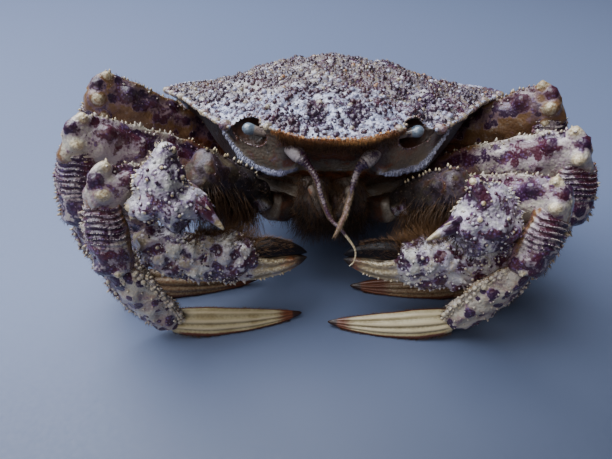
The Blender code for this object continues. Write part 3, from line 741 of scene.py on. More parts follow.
class Skin:
    """A closed skin laid out as rings of equally many points, in millimetres, each point with its paint."""

    tiles = 0
    tiles_per_row = 12

    def __init__(self, grid: Array) -> None:
        """Takes rings of points, from one end of the skin to the other.

        Args:
            grid: The points, by ring and column.
        """
        self.grid = grid
        self.paint = np.zeros((*grid.shape[:2], 4))
        self.tile = Skin.tiles
        Skin.tiles += 1

    def normals(self) -> Array:
        """Which way the skin faces at each point.

        Returns:
            One unit vector for each point.
        """
        around = np.roll(self.grid, -1, axis=1) - np.roll(self.grid, 1, axis=1)
        along = np.gradient(self.grid, axis=0)
        facing = unit(np.cross(around, along))
        middle = self.grid.mean(axis=1, keepdims=True)
        flip = np.sign(np.sum((self.grid - middle) * facing, axis=(0, 1, 2)))
        return facing * (flip if flip else 1.0)

    def lift(self, height: Array) -> None:
        """Moves each point out by so many millimetres."""
        self.grid = self.grid + self.normals() * np.broadcast_to(height, self.grid.shape[:2])[..., None]

    def mound(self, place: Array, radius: float, height: float) -> None:
        """Raises a round swelling."""
        away = np.linalg.norm(self.grid - place, axis=-1)
        self.lift(height * bell(away, 0.78 * radius))

    def tint(self, channel: int, share: Array) -> None:
        """Paints one channel at least so strongly."""
        self.paint[..., channel] = np.maximum(self.paint[..., channel], np.clip(share, 0.0, 1.0))

    def clear(self, channel: int, share: Array) -> None:
        """Takes a share of one channel away."""
        self.paint[..., channel] *= 1 - np.clip(share, 0.0, 1.0)

    def near(self, place: Array, radius: float) -> Array:
        """1 at a place, falling to 0 about a radius away."""
        away = np.linalg.norm(self.grid - place, axis=-1)
        return ease(1.35 * radius, 0.65 * radius, away)

    def spots(self, rows: Array, columns: Array) -> Spots:
        """Places between the skin's own points.

        Args:
            rows: Ring numbers, with fractions.
            columns: Numbers round each ring, with fractions.

        Returns:
            The spots.
        """
        rings, sides = self.grid.shape[:2]
        low = np.clip(np.floor(rows).astype(int), 0, rings - 2)
        row_share = (rows - low)[:, None]
        left = np.floor(columns).astype(int) % sides
        right = (left + 1) % sides
        side_share = (columns - np.floor(columns))[:, None]

        def blend(values: Array) -> Array:
            """A value between the four points about each place.

            Args:
                values: One value for each point of the skin.

            Returns:
                One value for each place.
            """
            below = values[low, left] * (1 - side_share) + values[low, right] * side_share
            above = values[low + 1, left] * (1 - side_share) + values[low + 1, right] * side_share
            return below * (1 - row_share) + above * row_share

        corner = np.array((self.tile % self.tiles_per_row, self.tile // self.tiles_per_row), float)
        share = np.stack([columns % sides / sides, rows / rings], axis=1)
        patch = (corner + 0.05 + 0.9 * share) / self.tiles_per_row
        return Spots(
            blend(self.grid), unit(blend(self.normals())), unit(blend(np.gradient(self.grid, axis=0))),
            blend(self.paint), patch,
        )

    def spot(self, row: float, column: float) -> Spots:
        """One place, by its ring and its number round it."""
        return self.spots(np.array([float(row)]), np.array([float(column)]))

    def build(self, name: str) -> bpy.types.Object:
        """Makes the mesh, with a filled end at the first and last ring.

        Args:
            name: The object's name.

        Returns:
            The object.
        """
        rings, sides = self.grid.shape[:2]
        wrapped = np.concatenate([self.grid, self.grid[:, :1]], axis=1).reshape(-1, 3)
        painted = np.concatenate([self.paint, self.paint[:, :1]], axis=1).reshape(-1, 4)
        editor = bmesh.new()
        bmesh.ops.create_grid(editor, x_segments=sides, y_segments=rings - 1, size=1.0)
        layer = editor.verts.layers.float_color.new("paint")
        for vertex, place, colour in zip(editor.verts, (above_floor(wrapped) + HOME) * MM, painted):
            vertex.co = place
            vertex[layer] = colour
        bmesh.ops.remove_doubles(editor, verts=editor.verts, dist=1e-7)
        ends = [edge for edge in editor.edges if len(edge.link_faces) == 1]
        bmesh.ops.holes_fill(editor, edges=ends, sides=0)
        bmesh.ops.recalc_face_normals(editor, faces=editor.faces)
        mesh = bpy.data.meshes.new(name)
        editor.to_mesh(mesh)
        editor.free()
        return object_of(name, mesh)


class Shape:
    """A small shape that is planted many times: one unit tall and one unit in radius at its root."""

    def __init__(self, editor: bmesh.types.BMesh) -> None:
        """Reads the shape from a bmesh, and frees it.

        Args:
            editor: The bmesh that holds the shape.
        """
        bmesh.ops.recalc_face_normals(editor, faces=editor.faces)
        editor.verts.index_update()
        self.vertices = np.array([vertex.co for vertex in editor.verts])
        self.faces = [[vertex.index for vertex in face.verts] for face in editor.faces]
        editor.free()

    @classmethod
    def dome(cls, sides: int, rings: int) -> "Shape":
        """A round boss with its root a little below the surface.

        Args:
            sides: How many columns.
            rings: How many rings the whole ball has.

        Returns:
            The shape.
        """
        editor = bmesh.new()
        bmesh.ops.create_uvsphere(editor, u_segments=sides, v_segments=rings, radius=1.0)
        geometry = editor.verts[:] + editor.edges[:] + editor.faces[:]
        bmesh.ops.bisect_plane(
            editor, geom=geometry, dist=1e-6, plane_co=(0, 0, -0.35), plane_no=(0, 0, 1), clear_inner=True
        )
        ends = [edge for edge in editor.edges if len(edge.link_faces) == 1]
        bmesh.ops.holes_fill(editor, edges=ends, sides=0)
        return cls(editor)

    @classmethod
    def spike(cls, sides: int, cuts: Sequence[float], point: float) -> "Shape":
        """A tapering spike with rings at given heights.

        Args:
            sides: How many columns.
            cuts: The heights of the rings.
            point: The radius at the tip, the root's being 1.

        Returns:
            The shape.
        """
        editor = bmesh.new()
        bmesh.ops.create_cone(editor, cap_ends=True, segments=sides, radius1=1.0, radius2=point, depth=1.2)
        bmesh.ops.translate(editor, verts=editor.verts, vec=(0, 0, 0.4))
        for height in cuts:
            geometry = editor.verts[:] + editor.edges[:] + editor.faces[:]
            bmesh.ops.bisect_plane(
                editor, geom=geometry, dist=1e-6, plane_co=(0, 0, height), plane_no=(0, 0, 1)
            )
        return cls(editor)

    @classmethod
    def thorn(cls) -> "Shape":
        """A spine with a stout root and a blunt tip.

        Returns:
            The shape.
        """
        shape = cls.spike(6, (0.2, 0.6), 0.16)
        height = np.clip(shape.vertices[:, 2], 0, 1)
        shape.vertices[:, :2] *= (1 + 0.35 * np.sin(math.pi * height))[:, None]
        return shape


SHAPES = {
    "granule": Shape.dome(7, 5),
    "grain": Shape.dome(5, 4),
    "boss": Shape.dome(16, 10),
    "thorn": Shape.thorn(),
    "spine": Shape.spike(16, (0.15, 0.4, 0.7, 0.88), 0.10),
    "hair": Shape.spike(3, (), 0.12),
    "long_hair": Shape.spike(3, (0.4,), 0.1),
}


class Bed:
    """Gathers small shapes set on skins, and joins them into one piece."""

    def __init__(self, name: str, seed: int) -> None:
        """Starts an empty bed with its own random draw.

        Args:
            name: The name of the object that it becomes.
            seed: Picks the random draw.
        """
        self.name = name
        self.draw = np.random.default_rng(seed)
        self.vertices: list[Array] = []
        self.paint: list[Array] = []
        self.patch: list[Array] = []
        self.loops: list[Array] = []
        self.sizes: list[Array] = []
        self.total = 0

    def plant(
        self, shape: str, spots: Spots, radius: Any, height: Any, root: Array, tip: Array,
        lean: Any = 0.0, droop: Sequence[float] = (0.0, 0.0, 0.0), stretch: float = 1.0,
    ) -> None:
        """Sets one shape on each spot.

        Args:
            shape: Which shape.
            spots: Where.
            radius: Radius at the root, one for all or one each.
            height: Height, one for all or one each.
            root: Paint at the root, one for all or one each.
            tip: Paint at the tip, one for all or one each.
            lean: How far it leans along the skin, as a share of its height.
            droop: How far its tip is pulled aside, as shares of its height.
            stretch: How much longer it is along the skin than across.
        """
        if not spots.count:
            return
        form = SHAPES[shape]
        count = spots.count
        radius = np.broadcast_to(radius, (count,))[:, None, None]
        height = np.broadcast_to(height, (count,))[:, None, None]
        lean = np.broadcast_to(lean, (count,))[:, None]
        up = unit(spots.normals + spots.along * lean)
        ahead = unit(np.cross(np.cross(up, spots.along), up))
        across = np.cross(up, ahead)
        local = form.vertices
        rise = local[None, :, 2:3]
        bent = np.array(droop, float)[None, None, :] * height * np.clip(rise, 0, 1) ** 2
        placed = (
            spots.points[:, None] + ahead[:, None] * local[None, :, 0:1] * radius * stretch
            + across[:, None] * local[None, :, 1:2] * radius + up[:, None] * rise * height + bent
        )
        share = ease(0.15, 0.85, np.clip(local[:, 2], 0, 1))[None, :, None]
        roots = np.broadcast_to(root, (count, 4))[:, None]
        tips = np.broadcast_to(tip, (count, 4))[:, None]
        painted = roots * (1 - share) + tips * share
        patched = spots.patch[:, None] + BAKE_PATCH / 2 * local[None, :, :2]
        corners = np.concatenate([np.array(face) for face in form.faces])
        starts = self.total + np.arange(count)[:, None] * len(local)
        self.vertices.append(placed.reshape(-1, 3))
        self.paint.append(painted.reshape(-1, 4))
        self.patch.append(patched.reshape(-1, 2))
        self.loops.append((starts + corners[None]).ravel())
        self.sizes.append(np.tile([len(face) for face in form.faces], count))
        self.total += count * len(local)

    def comb(self, spots: Spots, stray: float, pull: Any) -> None:
        """Points the spots along a pull, each strayed at random."""
        spots.along = unit(self.draw.normal(0, stray, (spots.count, 3)) + pull)

    def bristles(
        self, spots: Spots, length: tuple[float, float], tone: float, lean: float, radius: float = 0.05,
        root: float = 0.0, shape: str = "hair", droop: Sequence[float] = (0.0, 0.0, 0.0),
    ) -> None:
        """Sets a brown hair on each spot.

        Args:
            spots: Where.
            length: The shortest and the longest.
            tone: How light its tip is, as a share of amber.
            lean: How far it leans along the skin, as a share of its length.
            radius: Its radius at the root.
            root: How light its root is.
            shape: Which shape.
            droop: How far its tip is pulled aside, as shares of its length.
        """
        tall = self.draw.uniform(*length, spots.count)
        self.plant(shape, spots, radius, tall, Paint.AMBER.row * root, Paint.AMBER.row * tone, lean, droop)

    def build(self) -> bpy.types.Object:
        """Joins all that was planted into one object.

        Returns:
            The object.
        """
        vertices = (above_floor(np.vstack(self.vertices)) + HOME) * MM
        loops = np.concatenate(self.loops)
        sizes = np.concatenate(self.sizes)
        mesh = bpy.data.meshes.new(self.name)
        mesh.vertices.add(len(vertices))
        mesh.vertices.foreach_set("co", vertices.astype(np.float32).ravel())
        mesh.loops.add(len(loops))
        mesh.loops.foreach_set("vertex_index", loops.astype(np.int32))
        mesh.polygons.add(len(sizes))
        mesh.polygons.foreach_set("loop_start", (np.cumsum(sizes) - sizes).astype(np.int32))
        mesh.update(calc_edges=True)
        layer = mesh.attributes.new("paint", "FLOAT_COLOR", "POINT")
        layer.data.foreach_set("color", np.vstack(self.paint).astype(np.float32).ravel())
        bake = mesh.uv_layers.new(name="OFBake")
        bake.uv.foreach_set("vector", np.vstack(self.patch)[loops].astype(np.float32).ravel())
        mesh.validate()
        return object_of(self.name, mesh)


class Section(Enum):
    """Half width, half height and stations of each kind of limb piece: (place along it, width, height)."""

    MERUS = (3.5, 6.4, ((0, 0.62, 0.5), (0.1, 0.75, 0.62), (0.4, 0.92, 0.92),
                        (0.75, 1, 1), (0.93, 0.98, 0.96), (1, 0.7, 0.7)))
    CARPUS = (3.7, 5.2, ((0, 0.5, 0.45), (0.14, 0.8, 0.78), (0.4, 1, 1),
                         (0.75, 1, 1), (0.93, 0.92, 0.9), (1, 0.6, 0.62)))
    PROPODUS = (3.2, 6.4, ((0, 0.55, 0.5), (0.14, 0.85, 0.78), (0.4, 1, 1),
                           (0.75, 0.96, 0.92), (0.94, 0.85, 0.7), (1, 0.5, 0.45)))
    DACTYLUS = (2.2, 4.4, ((0, 0.7, 0.66), (0.1, 0.95, 0.9), (0.3, 1, 1),
                           (0.6, 0.8, 0.8), (0.85, 0.45, 0.45), (1, 0.14, 0.1)))
    ARM = (5.2, 5.6, ((0, 0.6, 0.6), (0.15, 0.8, 0.8), (0.5, 1, 0.95), (0.9, 1, 1), (1, 0.8, 0.8)))
    FINGER = (2.9, 3.3, ((0, 1, 1), (0.35, 0.9, 0.9), (0.7, 0.62, 0.62), (0.92, 0.3, 0.28), (1, 0.1, 0.1)))


LENS = 1.75  # below 2, a section has sharper upper and lower edges
ROUND = 2.2


class Segment:
    """One piece of a limb: a tapering tube whose sections are squashed ovals.

    Places on it are given by the share of its length and by an angle: 0 at the front, 90 at the crest.
    """

    def __init__(
        self, section: Section, start: Sequence[float], end: Sequence[float], crest: Sequence[float],
        scale: float, power: float, bow: float,
    ) -> None:
        """Sets a piece from its start to its end, with its crest facing as given and arched by its bow.

        Args:
            section: Which cross sections it has.
            start: Where it starts.
            end: Where it ends.
            crest: Roughly which way its crest faces.
            scale: Enlarges its cross sections.
            power: The power that shapes its cross sections.
            bow: How far it arches towards its crest.
        """
        self.start = np.array(start, float)
        self.end = np.array(end, float)
        self.length = float(np.linalg.norm(self.end - self.start))
        self.along = (self.end - self.start) / self.length
        flat = np.array(crest, float)
        self.crest = unit(flat - self.along * flat.dot(self.along))
        self.across = np.cross(self.along, self.crest)
        if self.across[1] > 0:
            self.across = -self.across
        half_width, half_height, self.stations = section.value
        self.half = np.array((half_width, half_height)) * scale
        self.power = power
        self.bow = bow

    def size_at(self, shares: Array) -> tuple[Array, Array]:
        """Half width and half height at shares of the length, with rounded ends.

        Args:
            shares: Shares of the length.

        Returns:
            The half widths and the half heights.
        """
        places = [station[0] for station in self.stations]
        sizes = []
        for column in (1, 2):
            heights = [station[column] for station in self.stations]
            steps = [np.interp(np.clip(shares + step, 0, 1), places, heights) for step in (-0.04, 0, 0.04)]
            sizes.append(np.mean(steps, axis=0))
        near_end = np.minimum(shares, 1 - shares) * self.length
        rounding = rounded(near_end / 1.6, 0.004)
        return sizes[0] * self.half[0] * rounding, sizes[1] * self.half[1] * rounding

    def skin(self, rings: int, sides: int) -> Skin:
        """The skin of the piece. Its columns start at the front and turn towards the crest.

        Args:
            rings: How many rings.
            sides: How many columns.

        Returns:
            The bare skin.
        """
        shares = np.linspace(0, 1, rings)[:, None]
        shares[0], shares[-1] = 0.0005, 0.9995
        wide, high = self.size_at(shares)
        across, up = squashed(np.radians(np.arange(sides) * 360 / sides)[None, :], self.power)
        lift = 4 * shares * (1 - shares) * self.bow
        middle = self.start + shares[..., None] * (self.end - self.start) + lift[..., None] * self.crest
        return Skin(middle + (across * wide)[..., None] * self.across + (up * high)[..., None] * self.crest)


def loft(stations: Sequence[Sequence[float]], rings: int, sides: int, power: float = ROUND) -> Skin:
    """A skin along a curve, its sections squashed ovals whose columns start at the front and turn upwards.

    Args:
        stations: Points of the curve, each with a half width and a half height.
        rings: How many rings of points.
        sides: How many points round each.
        power: How square the sections are.

    Returns:
        The skin.
    """
    line = evenly(curve_points(stations, 16), rings)
    middle, wide, high = line[:, :3], line[:, 3], line[:, 4]
    reach = travelled(middle)
    near_end = np.minimum(reach, reach[-1] - reach)
    rounding = rounded(near_end / np.minimum(2.4, 1.5 * high.max()), 0.006)
    ahead = unit(np.gradient(middle, axis=0))
    front = np.tile((0.0, -1.0, 0.0), (rings, 1))
    front = unit(front - ahead * np.sum(front * ahead, axis=1, keepdims=True))
    up = np.cross(ahead, front)
    up = up * np.sign(up[:, 2:3])
    across, rise = squashed(turns_of(sides), power)
    grid = middle[:, None] + front[:, None] * (across * (wide * rounding)[:, None])[..., None]
    return Skin(grid + up[:, None] * (rise * (high * rounding)[:, None])[..., None])


@dataclass
class Growth:
    """Shares and angles of a skin's points, and the way to find a place on it."""

    skin: Skin
    length: float = 0.0

    @property
    def share(self) -> Array:
        """Share of the length, one row for each ring."""
        return np.linspace(0, 1, self.skin.grid.shape[0])[:, None]

    @property
    def angle(self) -> Array:
        """Angle of each column, from -180 to 180."""
        degrees = np.arange(self.skin.grid.shape[1]) * 360 / self.skin.grid.shape[1]
        return ((degrees + 180) % 360 - 180)[None, :]

    def off(self, degrees: float) -> Array:
        """How many degrees each column is away from an angle."""
        return np.abs((self.angle - degrees + 180) % 360 - 180)

    def edge(self, degrees: float, width: float) -> Array:
        """1 along an angle, falling off to both sides over so many degrees."""
        return bell(self.off(degrees), width)

    def spots(self, shares: Any, degrees: Any) -> Spots:
        """Spots at shares of the length and angles.

        Args:
            shares: Shares of the length.
            degrees: Angles from the front towards the crest.

        Returns:
            The spots.
        """
        rings, sides = self.skin.grid.shape[:2]
        shares, degrees = np.broadcast_arrays(np.asarray(shares, float), np.asarray(degrees, float))
        rows = np.atleast_1d(shares) * (rings - 1)
        return self.skin.spots(rows, np.atleast_1d(degrees) % 360 / 360 * sides)

    def blots(self, marks: Marks, size: float, strength: float) -> None:
        """Paints round purple marks: share of the length, angle and radius.

        Args:
            marks: The share, angle and radius of each.
            size: Enlarges each radius.
            strength: How strong the purple is.
        """
        for share, degrees, radius in marks:
            place = self.spots(share, degrees).points[0]
            self.skin.tint(PURPLE, self.skin.near(place, radius * size) * strength)


def body_place(points: Array) -> Array:
    """Points of the body, where the body has them, turned and shifted a little over its limbs."""
    return turned(points, -2.0) + np.array((BODY_X, 0.0, 0.0))


def body_point(side: Side, x: float, y: float, z: float) -> Array:
    """One point of the body, given as it would be on the left."""
    return body_place(np.array(((side.value * x, y, z),)))[0]


def mirrored_outline(half: Sequence[Sequence[float]], count: int) -> Array:
    """Evenly spaced points round an outline given by its +X half, from the front round the left side.

    Args:
        half: Corners from the front, round the left side, to the rear.
        count: How many points are wanted.

    Returns:
        The whole outline.
    """
    corners = [tuple(corner) if len(corner) == 3 else (*corner, 0.0) for corner in half]
    corners += [(-x, y, z) for x, y, z in reversed(corners[1:-1])]
    return evenly(curve_points(corners, 12, closed=True), count, closed=True)


def under_plane(y: Array) -> Array:
    """Height of the plane where the shell ends and the chest begins."""
    return 31.5 - 0.08 * (y + 35)


@dataclass
class Carapace:
    """The shell over the whole body, with its granules, teeth and eye sockets."""

    outline: tuple[Place, ...] = (
        (0.0, -40.6, 54.8), (7.0, -40.2, 54.8), (12.5, -38.4, 55.4), (17.0, -36.6, 56.0),
        (22.5, -33.6, 55.6), (27.6, -31.0, 53.2), (35.0, -23.5, 53.2), (43.5, -12.5, 53.2),
        (50.6, -5.0, 52.6), (49.6, 9.0, 49.1), (42.5, 24.0, 44.7), (33.0, 38.0, 38.5), (21.0, 47.0, 33.6),
        (0.0, 49.0, 32.6),
    )
    centre: tuple[float, float] = (0.0, -4.0)
    top: float = 59.7
    lobes: tuple[tuple[float, float, float, float], ...] = (
        (0.0, -17.0, 7.0, 0.9), (11.5, -23.0, 6.0, 1.0), (27.0, -8.0, 9.0, 0.9), (31.0, 13.0, 9.0, 0.3),
        (0.0, 14.0, 8.0, 0.2), (20.0, 16.0, 8.0, 1.8), (42.0, 8.0, 7.0, -3.2), (14.5, -2.0, 4.5, -1.4),
        (6.0, -29.0, 4.0, -0.7), (10.0, 12.0, 4.0, -1.4), (20.0, -18.0, 4.5, -0.9),
        (14.0, 26.0, 7.0, 1.2), (0.0, 34.0, 6.0, 0.9), (24.0, 2.0, 3.5, -0.8),
    )
    orbit: Place = (22.4, -34.6, 53.6)
    orbit_size: Place = (6.0, 4.9, 4.3)
    ridge_heights: tuple[tuple[float, float], ...] = (
        (12.0, 43.0), (14.0, 42.4), (18.5, 41.6), (23.0, 42.0), (26.5, 44.6), (29.0, 48.5), (31.0, 52.0),
    )
    wall_drop: Place = (6.6, 13.0, 6.0)
    wall_reach: Place = (0.88, 0.94, 0.965)
    sides: int = 320
    wall_steps: int = 7
    dome_rows: int = 96
    dome_reach: float = 0.996
    dome_spacing: float = 1.15
    granules: int = 2250
    grains: int = 4200
    hairs: int = 6000
    lip_hairs: int = 3200
    cheek_hairs: int = 1400
    brow_hairs: int = 2400
    brow_grains: int = 160
    brow_columns: tuple[int, int] = (-24, 24)
    brow_half_width: float = 16.5

    def dome(self, edge: Array, share: Array) -> Array:
        """Points of the back between its centre, at share 0, and the margin, at share 1.

        Args:
            edge: Points of the margin.
            share: How far out each point lies.

        Returns:
            The points.
        """
        share = np.asarray(share, float)[..., None]
        centre = np.array((*self.centre, self.top))
        flat = centre + (edge - centre) * share
        sideways = np.abs(edge[..., 0:1]) / 50
        hood = np.cos(math.pi / 2 * np.clip(share, 0, 1)) ** 1.7
        arch = 1 - share ** 2.2
        rise = sideways ** 2 * hood + (1 - sideways ** 2) * arch
        swell = np.zeros_like(flat[..., 0])
        for x, y, reach, height in self.lobes:
            for side in (-1, 1) if x else (1,):
                away = (flat[..., 0] - side * x) ** 2 + (flat[..., 1] - y) ** 2
                swell += height * np.exp(-away / reach ** 2)
        height = edge[..., 2] + (self.top - edge[..., 2]) * rise[..., 0] + (1 - share[..., 0] ** 4) * swell
        return np.stack([flat[..., 0], flat[..., 1], height], axis=-1)

    def wall(self, edge: Array) -> list[Array]:
        """The key rings from the floor of the shell, over the ridge under the margin, to the margin.

        Args:
            edge: Points of the margin.

        Returns:
            The rings, the margin last.
        """
        ahead = np.clip((edge[:, 1] + 8) / -24, 0, 1)
        behind = np.clip((edge[:, 1] - 20) / 24, 0, 1)
        weights = np.stack([1 - ahead - behind, ahead, behind], axis=1)
        drop = weights @ np.array(self.wall_drop)
        recess = ahead * 0.15 * np.exp(-(edge[:, 0] / 12) ** 6)
        reach = weights @ np.array(self.wall_reach) - recess
        centre = np.array(self.centre)

        def ring(share: Array, height: Array) -> Array:
            """One ring at a share of the way out from the centre."""
            flat = centre + (edge[:, :2] - centre) * np.broadcast_to(share, edge.shape[:1])[:, None]
            return np.column_stack([flat, np.broadcast_to(height, edge.shape[:1])])

        low = under_plane(centre[1] + (edge[:, 1] - centre[1]) * 0.6) + 0.15
        floor_share = 0.6 + 0.12 * behind
        margin = edge[:, 2]
        return [
            ring(floor_share, low),
            ring(0.5 * (floor_share + reach) + 0.03, np.maximum(low + 2.0, margin - drop - 5.0)),
            ring(reach, np.maximum(margin - drop, low + 4.0)),
            ring(0.5 * (reach + 0.985), np.maximum(margin - drop * 0.5, low + 4.6)),
            ring(0.985, margin - 1.3),
            ring(1.0, margin),
        ]

    def build_skin(self) -> Skin:
        """The bare skin, painted.

        Returns:
            The skin.
        """
        edge = mirrored_outline(self.outline, self.sides)
        keys = np.stack(self.wall(edge))
        rows = [curve_points(keys[:, k], self.wall_steps) for k in range(self.sides)]
        wall = np.stack(rows, axis=1)
        shares = 1 - np.linspace(0, 1, self.dome_rows + 1)[1:] ** self.dome_spacing * self.dome_reach
        dome = np.stack([self.dome(edge, np.full(self.sides, share)) for share in shares])
        skin = Skin(body_place(np.concatenate([wall, dome])))
        self.margin_row = len(wall) - 1
        above = ease(0, 5, np.arange(len(skin.grid)) - self.margin_row)[:, None]
        skin.lift(above * (0.62 * lumpy(skin.grid, 5.2, 1) + 0.30 * lumpy(skin.grid, 2.2, 2)))
        self.ridge_rows = self.find_ridge(skin)
        off = np.arange(len(skin.grid))[:, None] - self.ridge_rows[None]
        skin.lift(np.nan_to_num(0.7 * bell(off, 0.9)))
        self.paint_skin(skin)
        return skin

    def find_ridge(self, skin: Skin) -> Array:
        """The row, with its fraction, where the ridge under the socket crosses each column, or nan.

        Args:
            skin: The skin of the shell.

        Returns:
            One row for each column.
        """
        x, y, z = np.moveaxis(skin.grid, -1, 0)
        rows = np.full(skin.grid.shape[1], np.nan)
        low = int(1.5 * self.wall_steps)
        for column in range(skin.grid.shape[1]):
            place = abs(x[self.margin_row, column] - BODY_X)
            if y[self.margin_row, column] > -20 or not 12.5 < place < 31.5:
                continue
            height = np.interp(place, *zip(*self.ridge_heights))
            heights = z[low:self.margin_row, column]
            rows[column] = np.interp(height, heights, np.arange(low, self.margin_row))
        return rows

    def paint_skin(self, skin: Skin) -> None:
        """Marks the purple patches and the brown rear, and paints the parts under the margin brown and
        darker: partly their own colour, partly painted shade.

        Args:
            skin: The surface that is dressed.
        """
        x, y, z = np.moveaxis(skin.grid, -1, 0)
        row = np.arange(skin.grid.shape[0])[:, None]
        above = ease(self.margin_row - 1, self.margin_row + 3, row)
        for px, py, wide, deep, strength in SHELL_PATCHES:
            away = np.hypot((x - px) / wide, (y - py) / deep)
            skin.tint(PURPLE, above * strength * ease(1.3, 0.5, away))
        rear = ease(-27, -14, y + 0.16 * x)
        right = ease(14, 26, x) * ease(-34, -26, y)
        skin.tint(PURPLE, above * (0.33 + 0.14 * rear + 0.08 * right))
        skin.tint(AMBER, above * (0.14 + 0.50 * rear + 0.24 * right))
        skin.tint(AMBER, above * 0.42 * np.exp(-((x - 10.6) / 2.6) ** 2 - ((y + 30) / 4) ** 2))
        skin.tint(CREAM, above * rear * 0.30)
        # Under the margin: brown, and darkened as painted shade under the overhang, most on the flanks,
        # behind, low down, on the plate and before the mouth; the ridge is kept clear.
        front = ease(-30, -36, y) * ease(19.5, 12.0, np.abs(x - BODY_X))
        flank = ease(25, 27.5, np.abs(x - BODY_X))
        under = 1 - above
        ridge = 2 * self.wall_steps
        below = ease(ridge + 0.5, ridge - 1.5, row)
        off = np.nan_to_num(row - self.ridge_rows[None], nan=-9.0)
        plate = ease(0.0, 1.2, off)
        skin.tint(AMBER, under * (0.36 + 0.24 * plate + 0.40 * flank))
        skin.tint(PURPLE, under * flank * 0.30)
        skin.tint(DIRT_AND_SHADE, under * flank * 0.86)
        behind = ease(-24, -12, y)
        skin.tint(AMBER, under * behind * 0.72)
        skin.tint(DIRT_AND_SHADE, under * behind * 0.5)
        skin.tint(AMBER, below * 0.95)
        skin.tint(DIRT_AND_SHADE, below * 0.45)
        skin.tint(DIRT_AND_SHADE, under * plate * (0.46 - 0.2 * ease(0, 6, x)))
        skin.tint(AMBER, under * front * 0.9)
        skin.tint(DIRT_AND_SHADE, under * front * 0.6)
        on_ridge = bell(off, 1.3)
        for channel in (AMBER, DIRT_AND_SHADE):
            skin.clear(channel, on_ridge)
        rim = bell(row - self.margin_row, 1.5)
        skin.tint(AMBER, rim * front)
        skin.tint(DIRT_AND_SHADE, rim * front * 0.25)
        skin.tint(CREAM, rim * (1 - front) * ease(6, -4, y) * 0.5)
        sides = bell(row - self.margin_row - 1, 3.5) * ease(25, 30, np.abs(x - BODY_X))
        skin.tint(AMBER, sides * (0.72 + 0.30 * lumpy(skin.grid, 3.0, 5)))

    def socket(self, side: Side) -> Skin:
        """What is cut away for one eye: an egg, pointed at its upper back.

        Args:
            side: Which side of the crab.

        Returns:
            The shape that cuts.
        """
        sides, rings = 32, 24
        polar = np.linspace(0.02, math.pi - 0.02, rings)[:, None]
        turn = turns_of(sides)[None, :]
        up = np.cos(polar) * np.ones_like(turn)
        pinch = 1 - 0.35 * np.clip(up, 0, 1) ** 1.5
        wide, deep = np.sin(polar) * np.cos(turn) * pinch, np.sin(polar) * np.sin(turn) * pinch
        grid = np.stack([wide, deep, up * 1.15], axis=-1) * np.array(self.orbit_size)
        grid[..., 0] += 0.1 * grid[..., 2]
        grid = turned(grid, -20) + np.array(self.orbit)
        grid[..., 0] *= side.value
        return Skin(body_place(grid))

    def build(self) -> None:
        """Makes and dresses the shell."""
        skin = self.build_skin()
        shell = skin.build("carapace_skin")
        sockets = [self.socket(side) for side in Side]
        tree = tree_of(skin.grid.reshape(-1, 3))
        self.cut_sockets(shell, skin, sockets, tree)
        dressed(shell, "shell_finish", Slot.SHELL, "carapace")
        self.dress_back(skin)
        bed = Bed("carapace_margin", 14)
        self.plant_teeth(bed, skin)
        self.plant_rim_beads(bed, skin, sockets)
        self.plant_socket_beads(bed, skin, sockets, tree)
        self.plant_ridge_beads(bed, skin)
        dressed(bed.build(), "shell_finish", Slot.SHELL)
        self.plant_lip_hair(skin)
        self.plant_brow_hair(skin)

    def cut_sockets(
        self, shell: bpy.types.Object, skin: Skin, sockets: list[Skin], tree: kdtree.KDTree
    ) -> None:
        """Cuts the eye sockets and paints them dark inside.

        Args:
            shell: The object of the shell.
            skin: The skin that it was built from.
            sockets: The shapes that cut the eye sockets.
            tree: Finds the nearest point of the shell's skin.
        """
        for number, socket in enumerate(sockets):
            tool = socket.build(f"socket_tool_{number}")
            step = shell.modifiers.new("socket", "BOOLEAN")
            step.operation = "DIFFERENCE"
            step.object = tool
            graph = bpy.context.evaluated_depsgraph_get()
            mesh = bpy.data.meshes.new_from_object(shell.evaluated_get(graph))
            shell.modifiers.clear()
            shell.data = mesh
            bpy.data.objects.remove(tool)
        painted = skin.paint.reshape(-1, 4)
        places = np.zeros(len(shell.data.vertices) * 3, np.float32)
        shell.data.vertices.foreach_get("co", places)
        places = places.reshape(-1, 3) / MM - HOME
        colours = np.zeros((len(places), 4))
        for index, place in enumerate(places):
            _, nearest, away = tree.find(place)
            colours[index] = painted[nearest] if away < 0.12 else Paint.SHADE.row
        layer = shell.data.attributes["paint"]
        layer.data.foreach_set("color", colours.astype(np.float32).ravel())
        shell.data.shade_smooth()

    def back_spots(self, skin: Skin, count: int, draw: np.random.Generator, reach: float) -> Spots:
        """Spots spread evenly over the back, clear of the sockets.

        Args:
            skin: The surface that is dressed.
            count: How many are tried.
            draw: The random draw.
            reach: How far out they go, the margin being 1.

        Returns:
            The spots that are clear.
        """
        order = np.arange(count)
        share = reach * np.sqrt((order + 0.5) / count) + draw.normal(0, 0.30 / math.sqrt(count), count)
        share = np.clip(share, 0.02, reach)
        stray = draw.normal(0, 0.30 * self.sides / math.sqrt(count) / 2.4, count) / share
        columns = (order * GOLDEN_TURN * self.sides + stray) % self.sides
        rows = self.margin_row + self.dome_rows * ((1 - share) / self.dome_reach) ** (1 / self.dome_spacing)
        spots = skin.spots(rows, columns)
        spots.normals[spots.normals[:, 2] < 0] *= -1
        clear = np.ones(count, bool)
        for side in Side:
            middle = body_point(side, *self.orbit)
            clear &= np.linalg.norm((spots.points - middle) / (1.25, 1.3, 1.6), axis=1) > 4.2
        return spots.keep(clear)

